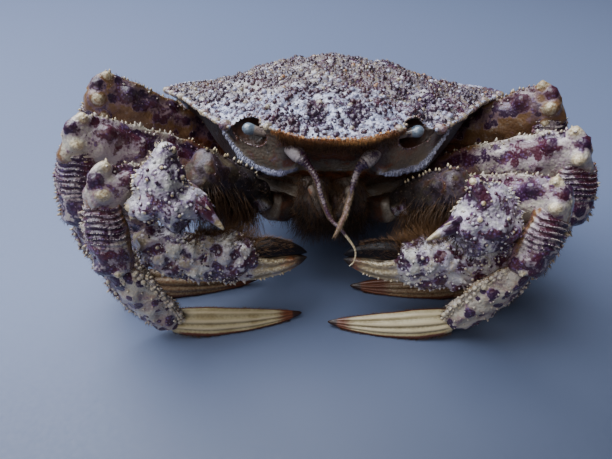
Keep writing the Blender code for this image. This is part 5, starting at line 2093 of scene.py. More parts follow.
@dataclass
class Claw:
    """One claw, folded before the mouth: arm, shield-like wrist, knobbly palm and two fingers."""

    side: Side
    joints: dict[str, Place]
    shield: tuple[tuple[float, float], ...]
    pearls: Marks
    knobs: Marks
    spine_root: tuple[float, float] = (-7.2, -2.6)
    front_rings: int = 44
    back_rings: int = 24
    rim_points: int = 120

    @property
    def name(self) -> str:
        """The claw's name as the nodes have it."""
        return f"{self.side.word}_claw"

    def segments(self) -> dict[str, Segment]:
        """The tube-like pieces.

        Returns:
            The shape of each piece, by name.
        """
        joints = {name: np.array(place, float) for name, place in self.joints.items()}
        sign = self.side.value
        knuckle, tip = joints["knuckle"], joints["tip"]
        up = (0, 0, 1)
        arm_start = joints["hip"] + (joints["elbow"] - joints["hip"]) * 0.14
        finger_root = knuckle + np.array((sign * 1.0, 0.4, 3.4))
        return {
            "arm": Segment(Section.ARM, arm_start, joints["elbow"], up, 1.0, ROUND, 0.6),
            "finger": Segment(Section.FINGER, finger_root, tip + (0, 0.6, 1.2), up, 1.0, ROUND, 1.4),
        }

    def build(self) -> None:
        """Makes and dresses the claw."""
        seed = 300 + (self.side is Side.LEFT)
        trim = Bed(f"{self.name}_trim", seed)
        hair = Bed(f"{self.name}_hair", seed + 10)
        segments = self.segments()
        self.build_arm(segments["arm"], trim, hair)
        self.build_wrist(trim, hair)
        self.build_palm(trim, hair)
        self.build_finger(segments["finger"], hair)
        dressed(trim.build(), "claw_finish", Slot.CLAW)
        dressed(hair.build(), "hair_finish", Slot.CLAW)

    def show(self, skin: Skin, word: str, finish: str = "claw_finish", slot: Slot = Slot.CLAW) -> None:
        """Makes and dresses one of the claw's pieces."""
        node = f"{self.name}_{word}"
        dressed(skin.build(f"{node}_skin"), finish, slot, node)

    def build_arm(self, segment: Segment, bed: Bed, hair: Bed) -> None:
        """The arm behind the wrist, brown with purple and pale marks.

        Args:
            segment: Where the piece runs and how thick it is.
            bed: Takes the planted shapes.
            hair: Takes the bristles.
        """
        skin = segment.skin(80, 64)
        growth = Growth(skin)
        skin.lift(0.3 * lumpy(skin.grid, 3.0, 70))
        skin.tint(AMBER, 0.84 + 0.15 * lumpy(skin.grid, 5.0, 71))
        skin.tint(DIRT_AND_SHADE, 0.70 + 0.2 * ease(0.9, 0.4, growth.share))
        skin.tint(PURPLE, np.clip(0.34 + 0.34 * lumpy(skin.grid, 2.2, 72), 0, 1))
        growth.blots(ARM_MARKS, 1.0, 0.72)
        shares = bed.draw.uniform(0.15, 0.97, 110)
        spots = growth.spots(shares, bed.draw.uniform(-20, 200, 110))
        bed.plant("grain", spots, 0.26, 0.22, spots.paint, spots.paint * 0.8)
        pale = ease(0.36, 0.24, growth.share) * ease(55, 30, growth.off(-40))
        for channel in (DIRT_AND_SHADE, AMBER):
            skin.clear(channel, pale * 0.8)
        spots = growth.spots(hair.draw.uniform(0.18, 0.95, 2600), -90 + hair.draw.normal(0, 36, 2600))
        hair.comb(spots, 0.35, (0, -0.1, -1.0))
        hair.bristles(
            spots, (2.5, 9.5), 0.8, 0.8, 0.085, root=0.2, shape="long_hair", droop=(0.0, 0.0, -0.3)
        )
        spots = growth.spots(np.linspace(0.3, 0.95, 12), 90 + bed.draw.normal(0, 5, 12))
        bed.plant("thorn", spots, 0.55, 1.2, spots.paint, Paint.CREAM.row, lean=0.3)
        spots = growth.spots(bed.draw.uniform(0.05, 0.95, 500), bed.draw.uniform(-140, 40, 500))
        hair.comb(spots, 0.5, spots.along)
        hair.bristles(spots, (0.7, 1.8), 0.7, 1.0)
        self.show(skin, "arm")

    def build_wrist(self, bed: Bed, hair: Bed) -> None:
        """The wrist: a domed shield with purple edges, cream knobs, and spines along its lower edge.

        Args:
            bed: Takes the planted shapes.
            hair: Takes the bristles.
        """
        middle = (np.array(self.joints["top"]) + np.array(self.joints["bottom"])) / 2
        rim = curve_points([(x, 0.0, z) for x, z in self.shield], 6, closed=True)
        rim = evenly(rim, self.rim_points, closed=True)
        rim[:, 0] *= self.side.value
        core = rim.mean(axis=0)
        rows = []
        for share in np.linspace(0.01, 1.0, self.front_rings):
            depth = 6.4 * (1 - share ** 3.2) + 0.6
            rows.append(core + (rim - core) * share + (0.0, -depth, 0.0))
        for share in np.linspace(0.98, 0.01, self.back_rings):
            depth = 5.6 * (1 - share ** 2.0) - 0.4
            rows.append(core + (rim - core) * share * (1.0, 1.0, 0.96) + (0.0, depth, 0.0))
        grid = np.stack(rows)
        grid[..., 1] += 0.20 * grid[..., 2]
        skin = Skin(grid + middle)
        x, z = grid[..., 0] * self.side.value, grid[..., 2]
        fore = np.concatenate([np.ones(self.front_rings), np.zeros(self.back_rings)])[:, None]
        skin.lift((0.42 * lumpy(skin.grid, 3.4, 80) + 0.10 * lumpy(skin.grid, 1.6, 81)) * fore)
        away = np.concatenate([np.linspace(0, 1, self.front_rings), np.ones(self.back_rings)])[:, None]
        low = ease(-2.5, -5.5, z) * ease(0.35, 0.75, away)
        skin.tint(PURPLE, 0.32 + 0.10 * lumpy(skin.grid, 4.5, 82))
        skin.tint(PURPLE, low * 0.56)
        skin.tint(PURPLE, ease(-1.5, -4.5, z) * ease(0.5, 3.5, x) * fore * 0.9)
        skin.tint(PURPLE, ease(-4.5, -7.5, x) * ease(2.5, -2.0, z) * 0.85)
        skin.tint(PURPLE, ease(0.78, 1.0, away) * ease(2.0, -1.5, x) * ease(0.0, 5.0, z) * 0.75)
        skin.tint(AMBER, (1 - fore) * 0.9)
        skin.tint(DIRT_AND_SHADE, (1 - fore) * 0.4)
        marks = [(*mark, 0.6) for mark in WRIST_MARKS]
        if self.side is Side.LEFT:
            marks += [(*mark, 0.72) for mark in LEFT_WRIST_MARKS]
            skin.tint(PURPLE, 0.38)
        for px, pz, reach, strength in marks:
            skin.tint(PURPLE, ease(1.3, 0.6, np.hypot(x - px, z - pz) / reach) * fore * strength)
        self.wrist_trim(skin, bed, hair, middle)
        self.show(skin, "wrist")

    def wrist_spots(self, skin: Skin, middle: Array, x: float, z: float) -> Spots:
        """The spot on the shield's front nearest to a place outwards and up from its middle.

        Args:
            skin: The skin of the wrist.
            middle: The middle of the wrist.
            x: How far outwards, in millimetres.
            z: How far up, in millimetres.

        Returns:
            The one spot.
        """
        front = skin.grid[:self.front_rings]
        away = np.hypot((front[..., 0] - middle[0]) * self.side.value - x, front[..., 2] - middle[2] - z)
        row, column = np.unravel_index(np.argmin(away), away.shape)
        return skin.spot(row, column)

    def wrist_trim(self, skin: Skin, bed: Bed, hair: Bed, middle: Array) -> None:
        """Knobs, pearls, spines and the long inner spine of the wrist.

        Args:
            skin: The surface that is dressed.
            bed: Takes the planted shapes.
            hair: Takes the bristles.
            middle: The middle of the wrist.
        """
        facing = np.array((0.0, -1.0, 0.0))
        for x, z, size in self.pearls:
            spots = self.wrist_spots(skin, middle, x, z)
            skin.tint(PURPLE, skin.near(spots.points[0], size * 2.1) * 0.66)
            bed.plant("boss", spots, size, size * 0.8, Paint.PURPLE.row, Paint.TAN.row * (1, 1, 1.5, 1))
        for x, z, size in self.knobs:
            spots = self.wrist_spots(skin, middle, x, z)
            spots.normals = unit(spots.normals + facing * 0.3)
            skin.lift(0.5 * size * skin.near(spots.points[0], size * 1.3))
            tip = Paint.CREAM.row * 0.9
            bed.plant("boss", spots, size * 0.85, size * 0.9, Paint.CREAM.row * 0.6, tip, stretch=1.2)
        rows = self.front_rings * np.sqrt(bed.draw.random(70))
        for row, column in zip(rows, bed.draw.integers(0, self.rim_points, 70)):
            skin.tint(PURPLE, skin.near(skin.grid[int(row), column], bed.draw.uniform(0.35, 0.8)) * 0.5)
        count = 85
        order = np.arange(count)
        rows = 2 + 40 * np.sqrt((order + 0.5) / count) + bed.draw.normal(0, 0.8, count)
        columns = order * GOLDEN_TURN * self.rim_points + bed.draw.normal(0, 2.0, count)
        spots = skin.spots(np.clip(rows, 1, self.front_rings - 1), columns % self.rim_points)
        size = bed.draw.uniform(0.5, 1.5, spots.count)
        for place, each in zip(spots.points[::2], size[::2]):
            skin.tint(PURPLE, skin.near(place, 1.2 * each) * 0.46)
        kind = bed.draw.random((spots.count, 1))
        tip = np.where(kind > 0.94, Paint.CREAM.row, spots.paint * 0.35)
        tip = np.where(kind < 0.24, Paint.PURPLE.row, tip)
        root = np.where(kind < 0.45, Paint.PURPLE.row, spots.paint)
        bed.plant("granule", spots, 0.38 * size, 0.34 * size, root, tip)
        for count, first, last in ((70, 38, 43), (80, 42, 47)):
            rows = bed.draw.uniform(first, last, count)
            rim_spots = skin.spots(rows, bed.draw.uniform(0, self.rim_points, count))
            low = (rim_spots.points[:, 2] - middle[2]) < -2.5
            out = unit(rim_spots.points - middle)
            rim_spots.normals = unit(out + facing * 0.25)
            length = np.where(low, bed.draw.uniform(0.8, 2.2, count), bed.draw.uniform(0.5, 1.3, count))
            tip = np.where(low[:, None], np.array((0.35, 0.0, 0.1, 0.0)), Paint.CREAM.row * 0.75)
            rim_spots.along = np.tile((0.0, 0.0, -1.0), (count, 1))
            bed.plant("thorn", rim_spots, 0.34, length * 0.85, rim_spots.paint, tip, lean=0.3)
        self.plant_spine(bed, skin, middle)
        self.wrist_hair(hair, skin, middle)

    def plant_spine(self, bed: Bed, skin: Skin, middle: Array) -> None:
        """The long spine at the wrist's inner corner, purple with a tan tip, and a smaller one above it.

        Args:
            bed: Takes the planted shapes.
            skin: The surface that is dressed.
            middle: The middle of the wrist.
        """
        tip = np.array(self.joints["spine"], float)
        base = middle + (self.side.value * self.spine_root[0], -2.4, self.spine_root[1])
        run = tip - base
        second = (base + (0, -1.2, 2.6), run * 0.5 + (0, 0, 0.6), 0.9)
        for start, reach, radius in ((base, run, 2.5), second):
            spot = Spots(
                start[None], unit(reach)[None], np.array(((0.0, 0.0, 1.0),)), Paint.PURPLE.row[None],
                skin.spot(20, 10).patch,
            )
            height = float(np.linalg.norm(reach))
            bed.plant("spine", spot, radius, height, Paint.PURPLE.row, Paint.TAN.row)

    def wrist_hair(self, hair: Bed, skin: Skin, middle: Array) -> None:
        """Bristles under the wrist's lower edge.

        Args:
            hair: Takes the bristles.
            skin: The surface that is dressed.
            middle: The middle of the wrist.
        """
        spots = skin.spots(hair.draw.uniform(42, 58, 700), hair.draw.uniform(0, self.rim_points, 700))
        spots = spots.keep(spots.points[:, 2] - middle[2] < -2)
        hair.comb(spots, 0.4, (0, -0.2, -1.0))
        hair.bristles(spots, (0.8, 2.0), 0.8, 0.9)

    def build_palm(self, bed: Bed, hair: Bed) -> None:
        """The palm and its fixed finger: white and purple, lumpy, spiny below, ribbed towards the tip.

        Args:
            bed: Takes the planted shapes.
            hair: Takes the bristles.
        """
        root, knuckle, tip = (np.array(self.joints[name], float) for name in ("root", "knuckle", "tip"))
        run = knuckle - root
        stations = [
            (*(root + run * share + (0, 0, rise)), wide, high)
            for share, rise, wide, high in (
                (-0.10, 2.2, 2.4, 3.4), (0.02, 0.8, 3.8, 5.4), (0.2, -1.6, 4.6, 6.4),
                (0.42, -2.0, 4.9, 6.9), (0.66, -0.4, 5.0, 7.7), (0.84, 0.1, 4.7, 7.4),
                (1.0, -0.6, 3.8, 5.2),
            )
        ]
        finger = tip - knuckle
        for share, rise, wide, high in (
            (0.34, -1.4, 3.0, 3.7), (0.62, -1.0, 2.3, 2.7), (0.86, -0.4, 1.3, 1.4), (1.0, 0.0, 0.4, 0.45),
        ):
            stations.append((*(knuckle + finger * share + (0, 0, rise)), wide, high))
        skin = loft(stations, 150, 84)
        growth = Growth(skin)
        share = growth.share
        palm = ease(0.72, 0.62, share)
        horn = 1 - palm
        skin.lift(palm * (0.42 * lumpy(skin.grid, 2.8, 90) + 0.18 * lumpy(skin.grid, 1.5, 91)))
        skin.tint(PURPLE, (0.42 + 0.10 * lumpy(skin.grid, 5.0, 94)) * palm)
        skin.tint(PURPLE, 0.54 * palm * ease(-10, -50, growth.angle) * ease(-120, -90, growth.angle))
        skin.tint(AMBER, ease(95, 140, growth.off(0)) * 0.9)
        skin.tint(AMBER, 0.27 + 0.4 * ease(0.10, 0.0, share))
        skin.tint(CREAM, 0.36)
        for place, degrees, radius in PALM_LUMPS:
            near = skin.near(growth.spots(place, degrees).points[0], radius)
            skin.lift(0.62 * near * (1 + 0.5 * lumpy(skin.grid, 1.3, 93)))
            skin.clear(PURPLE, near * 0.75)
            skin.tint(CREAM, near * 0.34)
        growth.blots(PALM_MARKS, 1.35, 0.72)
        for _ in range(26):
            mark = bed.draw.uniform(0.02, 0.68), bed.draw.uniform(-80, 80), bed.draw.uniform(0.6, 1.7)
            growth.blots((mark,), 1.0, 0.62)
        ribs = 0.5 + 0.5 * np.cos(np.radians(growth.angle) * 8 + 0.8 * lumpy(skin.grid, 5.0, 92))
        skin.lift(0.3 * (ribs - 0.6) * horn * ease(1.0, 0.85, share))
        skin.tint(CREAM, horn * (0.30 + 0.34 * ribs) * ease(1.0, 0.82, share))
        skin.tint(AMBER, horn * (0.48 + 0.5 * ease(0.82, 0.97, share)))
        skin.tint(DIRT_AND_SHADE, horn * (1 - ribs) ** 2 * 0.45)
        skin.tint(DIRT_AND_SHADE, ease(0.90, 0.98, share) * 0.9)
        self.palm_trim(growth, bed, hair)
        self.show(skin, "palm")

    def palm_trim(self, growth: Growth, bed: Bed, hair: Bed) -> None:
        """Rows of spines, grains between them, and hair above.

        Args:
            growth: The surface, by its length and angle.
            bed: Takes the planted shapes.
            hair: Takes the bristles.
        """
        for degrees, first, last, count, height, radius in PALM_SPINES:
            shares = np.linspace(first, last, count) + bed.draw.normal(0, 0.007, count)
            spots = growth.spots(shares, degrees + bed.draw.normal(0, 4, count))
            size = bed.draw.uniform(0.6, 1.3, count)
            tips = Paint.CREAM.row * (1.0 if degrees < -60 else 0.7) * bed.draw.uniform(0.5, 1.0, (count, 1))
            bed.plant("thorn", spots, radius * size, height * size, spots.paint, tips, lean=0.35)
        count = 380
        spots = growth.spots(bed.draw.uniform(0.03, 0.68, count), bed.draw.uniform(-110, 120, count))
        size = bed.draw.uniform(0.45, 1.2, count)
        kind = bed.draw.random((count, 1))
        tip = np.where(kind < 0.88, Paint.PURPLE.row * 0.9, Paint.CREAM.row * 0.7)
        tip = np.where(kind < 0.65, spots.paint * 0.3, tip)
        bed.plant("grain", spots, 0.30 * size, 0.32 * size, spots.paint, tip)
        spots = growth.spots(hair.draw.uniform(0.25, 0.72, 800), 92 + hair.draw.normal(0, 24, 800))
        hair.comb(spots, 0.4, spots.along)
        hair.bristles(spots, (0.8, 2.6), 0.9, 1.1, 0.055)
        spots = growth.spots(hair.draw.uniform(0.35, 0.80, 900), 100 + hair.draw.normal(0, 18, 900))
        hair.comb(spots, 0.35, (-0.7 * self.side.value, 0.3, 0.4))
        hair.bristles(spots, (1.5, 5.5), 1.1, 0.9, 0.06, root=0.3, shape="long_hair")
        spots = growth.spots(hair.draw.uniform(0.66, 0.92, 260), hair.draw.uniform(30, 120, 260))
        hair.bristles(spots, (0.5, 1.4), 1.0, 1.3, 0.045)

    def build_finger(self, segment: Segment, hair: Bed) -> None:
        """The moving finger: nearly black and glossy, with rusty ribs at its root.

        Args:
            segment: Where the piece runs and how thick it is.
            hair: Takes the bristles.
        """
        skin = segment.skin(90, 60)
        growth = Growth(skin)
        for degrees in (15, 60, 130):
            skin.lift(-0.16 * growth.edge(degrees, 10) * ease(0.95, 0.6, growth.share))
        skin.tint(AMBER, ease(0.35, 0.02, growth.share) * 0.5)
        bites = np.sin(growth.share * math.tau * 5) * ease(0.1, 0.3, growth.share)
        bites = bites * ease(0.95, 0.8, growth.share)
        skin.lift(0.3 * bites * growth.edge(-90, 22))
        spots = growth.spots(hair.draw.uniform(0.02, 0.7, 320), 80 + hair.draw.normal(0, 40, 320))
        hair.bristles(spots, (0.6, 1.6), 1.0, 1.2, 0.045)
        self.show(skin, "finger", "finger_finish", Slot.DARK_FINGER)


@dataclass
class Eye:
    """One eye on its stalk, lying out along its socket."""

    side: Side
    orbit: Place = (21.4, -35.2, 53.4)
    place: Place = (0.2, 2.3, 0.1)
    stalk_root: Place = (-5.6, 2.4, -1.2)
    radius: float = 1.9
    height_share: float = 0.85
    profile: tuple[tuple[float, float], ...] = (
        (0.0, 1.1), (0.15, 1.35), (0.35, 1.25), (0.5, 1.3), (0.58, 1.42), (0.63, 1.62), (0.75, 1.85),
        (0.86, 1.72), (0.94, 1.25), (0.985, 0.6), (1.0, 0.03),
    )

    def in_socket(self, offset: Sequence[float]) -> Array:
        """A point so far outwards, back and up from the middle of the socket."""
        return body_point(self.side, *(np.array(self.orbit) + np.array(offset)))

    def build(self) -> None:
        """Makes and dresses the eye and its stalk as one piece."""
        root, tip = self.in_socket(self.stalk_root), self.in_socket(self.place)
        run = tip - root
        outward = unit(run)
        reach = float(np.linalg.norm(run)) + self.radius
        shares = np.linspace(0, 1, 60)
        radii = np.interp(shares, *zip(*self.profile))
        radii = np.convolve(np.pad(radii, 2, mode="edge"), np.ones(5) / 5, mode="valid")
        radii[-1] = 0.02
        line = root + outward * (shares * reach)[:, None]
        ahead = np.tile(outward, (len(line), 1))
        skin = Skin(tube(line, ahead, (0, 0, 1), radii, 40, -self.height_share))
        stalk = ease(0.62, 0.55, shares)[:, None]
        skin.tint(AMBER, stalk)
        skin.tint(PURPLE, 0.45 * stalk)
        dressed(skin.build(f"{self.side.word}_eye_ball"), "eye_finish", Slot.EYE, f"{self.side.word}_eye")


@dataclass
class Feeler:
    """One long feeler, ringed, with combs of fine hairs."""

    side: Side
    path: tuple[Place, ...]
    radii: tuple[float, ...]
    spacing: float = 0.16
    ring_pitch: float = 0.85
    sides: int = 20

    def build(self) -> None:
        """Makes and dresses the feeler."""
        line = curve_points(self.path, 30)
        radius = curve_points([(r, 0, 0) for r in self.radii], 30)[:, 0]
        reach = travelled(line)[-1]
        count = int(reach / self.spacing)
        rows = evenly(np.column_stack([line, radius]), count)
        line, radius = rows[:, :3], rows[:, 3]
        wanted = np.linspace(0, reach, count)
        ringed = 1 + 0.10 * np.sin(wanted * math.tau / self.ring_pitch) * ease(5, 7, wanted)
        ahead = unit(np.gradient(line, axis=0))
        grid = tube(line, ahead, (0.0, -0.2, 1.0), radius * ringed, self.sides)
        for end in (0, -1):
            grid[end] = line[end] + (grid[end] - line[end]) * 0.05
        skin = Skin(grid)
        share = wanted / wanted[-1]
        bands = 0.5 + 0.5 * np.sin(wanted * math.tau / self.ring_pitch + 1.0)
        fade = ease(0.86, 0.66, share) if self.side is Side.RIGHT else ease(0.72, 0.55, share)
        plate = ease(7.0, 5.5, wanted)
        skin.tint(PURPLE, ((0.50 + 0.22 * bands) * fade * (1 - plate) + 0.4 * plate)[:, None])
        skin.tint(AMBER, (0.45 * (1 - plate))[:, None])
        if self.side is Side.RIGHT:
            skin.tint(CREAM, (0.75 * ease(0.66, 0.8, share))[:, None])
        node = f"{self.side.word}_feeler"
        dressed(skin.build(f"{node}_skin"), "feeler_finish", Slot.FEELER, node)
        self.build_comb(skin)

    def build_comb(self, skin: Skin) -> None:
        """The fine hairs: a comb on the inner side, or a flat brush towards the tip.

        Args:
            skin: The skin of the feeler.
        """
        hair = Bed(f"{self.side.word}_feeler_hair", 500 + self.side.value)
        rows = len(skin.grid) - 1
        if self.side is Side.RIGHT:
            count = 70
            spots = skin.spots(np.linspace(0.24, 0.62, count) * rows, np.zeros(count))
            spots.normals = np.tile(unit(np.array((1.0, -0.1, -0.15))), (count, 1))
            length = 2.6 * np.sin(np.linspace(0.35, 2.6, count)) + hair.draw.uniform(-0.2, 0.2, count)
            hair.plant(
                "long_hair", spots, 0.05, length, Paint.BARE.row, Paint.AMBER.row, droop=(0.0, -0.1, -0.35)
            )
            spots = skin.spots(np.linspace(0.2, 0.72, 140) * rows, hair.draw.uniform(0, self.sides, 140))
            hair.plant("hair", spots, 0.03, 0.6, Paint.BARE.row, Paint.AMBER.row, lean=1.0)
        else:
            chosen = hair.draw.uniform(0.52, 0.985, 900) * rows
            spots = skin.spots(chosen, hair.draw.uniform(0, self.sides, 900))
            hair.bristles(spots, (0.5, 1.1), 0.7, 4.0, root=0.4)
            chosen = hair.draw.uniform(0.22, 0.55, 200) * rows
            spots = skin.spots(chosen, hair.draw.uniform(0, self.sides, 200))
            hair.plant("hair", spots, 0.035, 0.7, Paint.BARE.row, Paint.AMBER.row, lean=1.2)
        dressed(hair.build(), "tan_hair_finish", Slot.FEELER)


@dataclass
class Mouth:
    """The two jaw feet that close the mouth, their palps, and the hair about them."""

    sections: tuple[tuple[float, float, float, float, float], ...] = (
        (40.5, 1.2, 7.0, -35.2, 2.2), (38.5, 0.8, 9.0, -35.8, 3.0), (32.0, 0.5, 10.0, -35.6, 3.6),
        (25.5, 0.5, 9.0, -34.0, 3.4), (22.5, 1.0, 6.5, -32.6, 2.4),
    )
    palp: tuple[Place, ...] = (
        (5.4, -37.4, 39.6), (4.4, -39.4, 37.4), (3.0, -39.9, 33.8), (2.0, -39.2, 30.8),
    )

    def build(self) -> None:
        """Makes and dresses both jaw feet."""
        hair = Bed("mouth_hair", 601)
        for side in Side:
            self.build_jaw(side, hair)
            self.build_palp(side, hair)
        dressed(hair.build(), "hair_finish", Slot.MOUTHPARTS)

    def build_jaw(self, side: Side, hair: Bed) -> None:
        """One jaw foot: a long plate with a groove down it.

        Args:
            side: Which side of the crab.
            hair: Takes the bristles.
        """
        keys = curve_points([(z, inner, outer) for z, inner, outer, _, _ in self.sections], 14)
        depth = curve_points([(z, y, thick) for z, _, _, y, thick in self.sections], 14)
        sides = 48
        turns = turns_of(sides)
        rounding = rounded(steps_to_end(len(keys)) / 5)[:, None]
        x = (keys[:, 1:2] + keys[:, 2:3]) / 2 + (keys[:, 2:3] - keys[:, 1:2]) / 2 * np.cos(turns) * rounding
        y = depth[:, 1:2] + depth[:, 2:3] / 2 * np.sin(turns) * rounding
        z = np.broadcast_to(keys[:, 0:1], x.shape)
        skin = Skin(body_place(np.stack([side.value * x, y, z], axis=-1)))
        across = np.cos(turns)[None, :]
        skin.lift(-0.5 * bell(across - 0.25, 0.12))
        skin.lift(0.55 * lumpy(skin.grid, 3.4, 95))
        skin.tint(AMBER, 0.66)
        skin.tint(PURPLE, 0.30)
        skin.tint(AMBER, bell(across + 0.9, 0.3))
        # Painted shade: the jaw foot is darkened along its groove and all over, most towards its bottom, in
        # the recess under the mouth.
        skin.tint(DIRT_AND_SHADE, bell(across - 0.25, 0.1) * 0.5)
        skin.tint(DIRT_AND_SHADE, 0.60 + 0.3 * ease(36, 28, skin.grid[..., 2]))
        word = side.word
        dressed(skin.build(f"{word}_jaw_skin"), "under_finish", Slot.MOUTHPARTS, f"{word}_jaw_foot")
        rows = hair.draw.uniform(2, len(keys) - 4, 2200)
        spots = skin.spots(rows, hair.draw.uniform(0, sides, 2200))
        hair.comb(spots, 0.5, (0, -0.3, -1.0))
        hair.bristles(spots, (0.8, 2.6), 0.8, 1.4, 0.06)
        # Long hairs hang below the jaw foot; their dark tone also stands in for the shade below the mouth.
        rows = len(keys) - 2 - 22 * hair.draw.random(900) ** 1.5
        spots = skin.spots(rows, hair.draw.uniform(0, sides, 900))
        hair.comb(spots, 0.3, (0.15 * side.value, 0.1, -1.0))
        hair.bristles(spots, (3.0, 7.5), 0.35, 2.4, 0.10, shape="long_hair")

    def build_palp(self, side: Side, hair: Bed) -> None:
        """The short bristly limb folded in over the top of a jaw foot.

        Args:
            side: Which side of the crab.
            hair: Takes the bristles.
        """
        sides = 24
        line = body_place(curve_points([(side.value * x, y, z) for x, y, z in self.palp], 12))
        ahead = unit(np.gradient(line, axis=0))
        share = np.linspace(0, 1, len(line))
        radius = 1.25 * (1 - 0.45 * share) * rounded(np.minimum(share, 1 - share) * 9)
        radius = radius * (1 - 0.18 * bell(share - 0.36, 0.05) - 0.18 * bell(share - 0.7, 0.05))
        skin = Skin(tube(line, ahead, (1.0, 0.1, 0.2), radius, sides))
        skin.tint(AMBER, 0.6)
        skin.tint(DIRT_AND_SHADE, 0.4)
        dressed(skin.build(f"{side.word}_palp"), "under_finish", Slot.MOUTHPARTS)
        spots = skin.spots(hair.draw.uniform(8, len(line) - 2, 500), hair.draw.uniform(0, sides, 500))
        hair.bristles(spots, (0.9, 2.2), 1.0, 1.2, shape="long_hair")


@dataclass
class Underbody:
    """The chest under the shell, with a short hip for each limb, and the tail folded beneath it."""

    legs: list[WalkingLeg]
    claws: list[Claw]
    outline: tuple[tuple[float, float], ...] = (
        (0.0, -30.5), (12.0, -29.0), (22.0, -20.0), (25.5, -4.0), (24.0, 12.0), (17.0, 26.0), (0.0, 33.0),
    )
    depth: float = 10.5
    levels: tuple[tuple[float, float], ...] = ((0.62, 1.0), (0.86, 0.86), (1.0, 0.5), (0.97, 0.0))
    chest_grooves: tuple[float, ...] = (-22, -13, -4, 5, 14, 22)
    tail_seams: tuple[float, ...] = (-4, 3, 10, 17, 24, 31, 37)
    tail_sections: tuple[tuple[float, float, float, float], ...] = (
        (-12, 3.0, 1.6, 0.0), (-4, 4.6, 2.0, 0.0), (8, 6.4, 2.4, 0.0), (20, 8.6, 2.8, 0.0),
        (30, 10.5, 3.2, 0.2), (36, 11.5, 3.6, 2.2), (40, 11.0, 4.0, 5.2), (43, 9.0, 3.6, 7.6),
    )

    def build(self) -> None:
        """Makes and dresses the chest, the hips and the tail."""
        self.build_chest()
        self.build_hips()
        self.build_tail()

    def build_chest(self) -> None:
        """The chest, with the grooves between its plates."""
        sides = 160
        edge = mirrored_outline(self.outline, sides)
        rows = []
        keys = [(0.02, 1.0), (0.3, 1.0), *self.levels]
        shares = curve_points([(share, depth, 0.0) for share, depth in keys], 10)
        for share, depth, _ in shares:
            flat = edge * share
            height = under_plane(flat[:, 1]) - np.maximum(depth * self.depth, 0.15)
            rows.append(np.column_stack([flat[:, 0], flat[:, 1], height]))
        skin = Skin(body_place(np.stack(rows)))
        x, y = skin.grid[..., 0], skin.grid[..., 1]
        grooves = sum(bell(y - 0.25 * np.abs(x) - step, 0.7) for step in self.chest_grooves)
        skin.lift(-0.55 * grooves * ease(3, 8, np.abs(x)))
        skin.tint(DIRT_AND_SHADE, 0.5 * grooves * ease(3, 8, np.abs(x)))
        skin.tint(AMBER, 0.35)
        skin.tint(CREAM, 0.3 * ease(16, 6, np.abs(x)))
        dressed(skin.build("chest_skin"), "under_finish", Slot.UNDERSIDE, "chest")
        # Long dark hairs hang under the chest front; their dark tone also stands in for the shade under the
        # body.
        hair = Bed("chest_hair", 700)
        spots = skin.spots(hair.draw.uniform(22, 44, 3200), hair.draw.uniform(-44, 44, 3200) % sides)
        spots = spots.keep(spots.points[:, 1] < -14)
        hair.comb(spots, 0.3, (0.0, -0.1, -1.0))
        hair.bristles(spots, (3.0, 7.0), 0.35, 2.4, 0.10, shape="long_hair")
        dressed(hair.build(), "hair_finish", Slot.UNDERSIDE)

    def build_hips(self) -> None:
        """A short hip for each limb, with hair at its end."""
        hair = Bed("hip_hair", 701)
        limbs = [(f"{leg.name}_hip", leg.segments()[LegPiece.MERUS]) for leg in self.legs]
        limbs += [(f"{claw.name}_hip", claw.segments()["arm"]) for claw in self.claws]
        for name, limb in limbs:
            width, height = limb.half * np.array(limb.stations[0][1:])
            outer = limb.start + limb.along * 1.6
            inner = np.array((limb.start[0] * 0.38, limb.start[1] + 3.0, 26.0))
            bend = limb.start * 0.72 + inner * 0.28 - (0, 0, 1.0)
            skin = loft((
                (*inner, width * 0.9, height * 0.9), (*bend, width * 1.25, height * 1.2),
                (*limb.start, width * 1.12, height * 1.12), (*outer, width * 0.95, height * 0.95),
            ), 50, 48)
            growth = Growth(skin)
            skin.lift(0.3 * lumpy(skin.grid, 3.0, 75))
            skin.tint(AMBER, 0.85)
            # The hips are darkened: painted shade under the body, over their own brown.
            skin.tint(DIRT_AND_SHADE, 0.72)
            if "claw" in name:
                pale = ease(0.6, 0.72, growth.share) * ease(80, 40, growth.off(10))
                skin.clear(DIRT_AND_SHADE, pale * 0.7)
                skin.clear(AMBER, pale * 0.6)
            dressed(skin.build(name), "under_finish", Slot.UNDERSIDE)
            spots = growth.spots(hair.draw.uniform(0.5, 0.98, 140), hair.draw.uniform(0, 360, 140))
            hair.bristles(spots, (0.6, 1.6), 0.8, 1.0)
        dressed(hair.build(), "hair_finish", Slot.UNDERSIDE)

    def build_tail(self) -> None:
        """The tail, in seven rings, folded flat under the chest and rising behind it."""
        keys = np.array(self.tail_sections)
        line = curve_points(np.column_stack([keys[:, 0], keys[:, 3], keys[:, 2]]), 12)
        wide = curve_points(np.column_stack([keys[:, 1], keys[:, 1], keys[:, 1]]), 12)[:, 0]
        turns = turns_of(64)
        rows = []
        rounding = rounded(steps_to_end(len(line)) / 5)
        for (y, rise, thick), half, round_end in zip(line, wide, rounding):
            roof = under_plane(np.array(y)) - self.depth - thick / 2 - 0.3 + rise
            across = half * np.cos(turns) * round_end
            height = roof + np.sin(turns) * thick / 2 * round_end
            rows.append(np.column_stack([across, np.full(len(turns), y), height]))
        skin = Skin(body_place(np.stack(rows)))
        y = skin.grid[..., 1]
        x = skin.grid[..., 0]
        seams = sum(bell(y - step, 0.55) for step in self.tail_seams)
        skin.lift(-0.5 * seams + 0.25 * bell(x, 2.2))
        skin.tint(DIRT_AND_SHADE, seams * 0.5)
        skin.tint(AMBER, 0.4 + 0.25 * ease(20, 40, y))
        skin.tint(CREAM, 0.35 * bell(x, 4))
        skin.tint(PURPLE, 0.45 * ease(24, 40, y))
        dressed(skin.build("tail_skin"), "under_finish", Slot.UNDERSIDE, "tail")


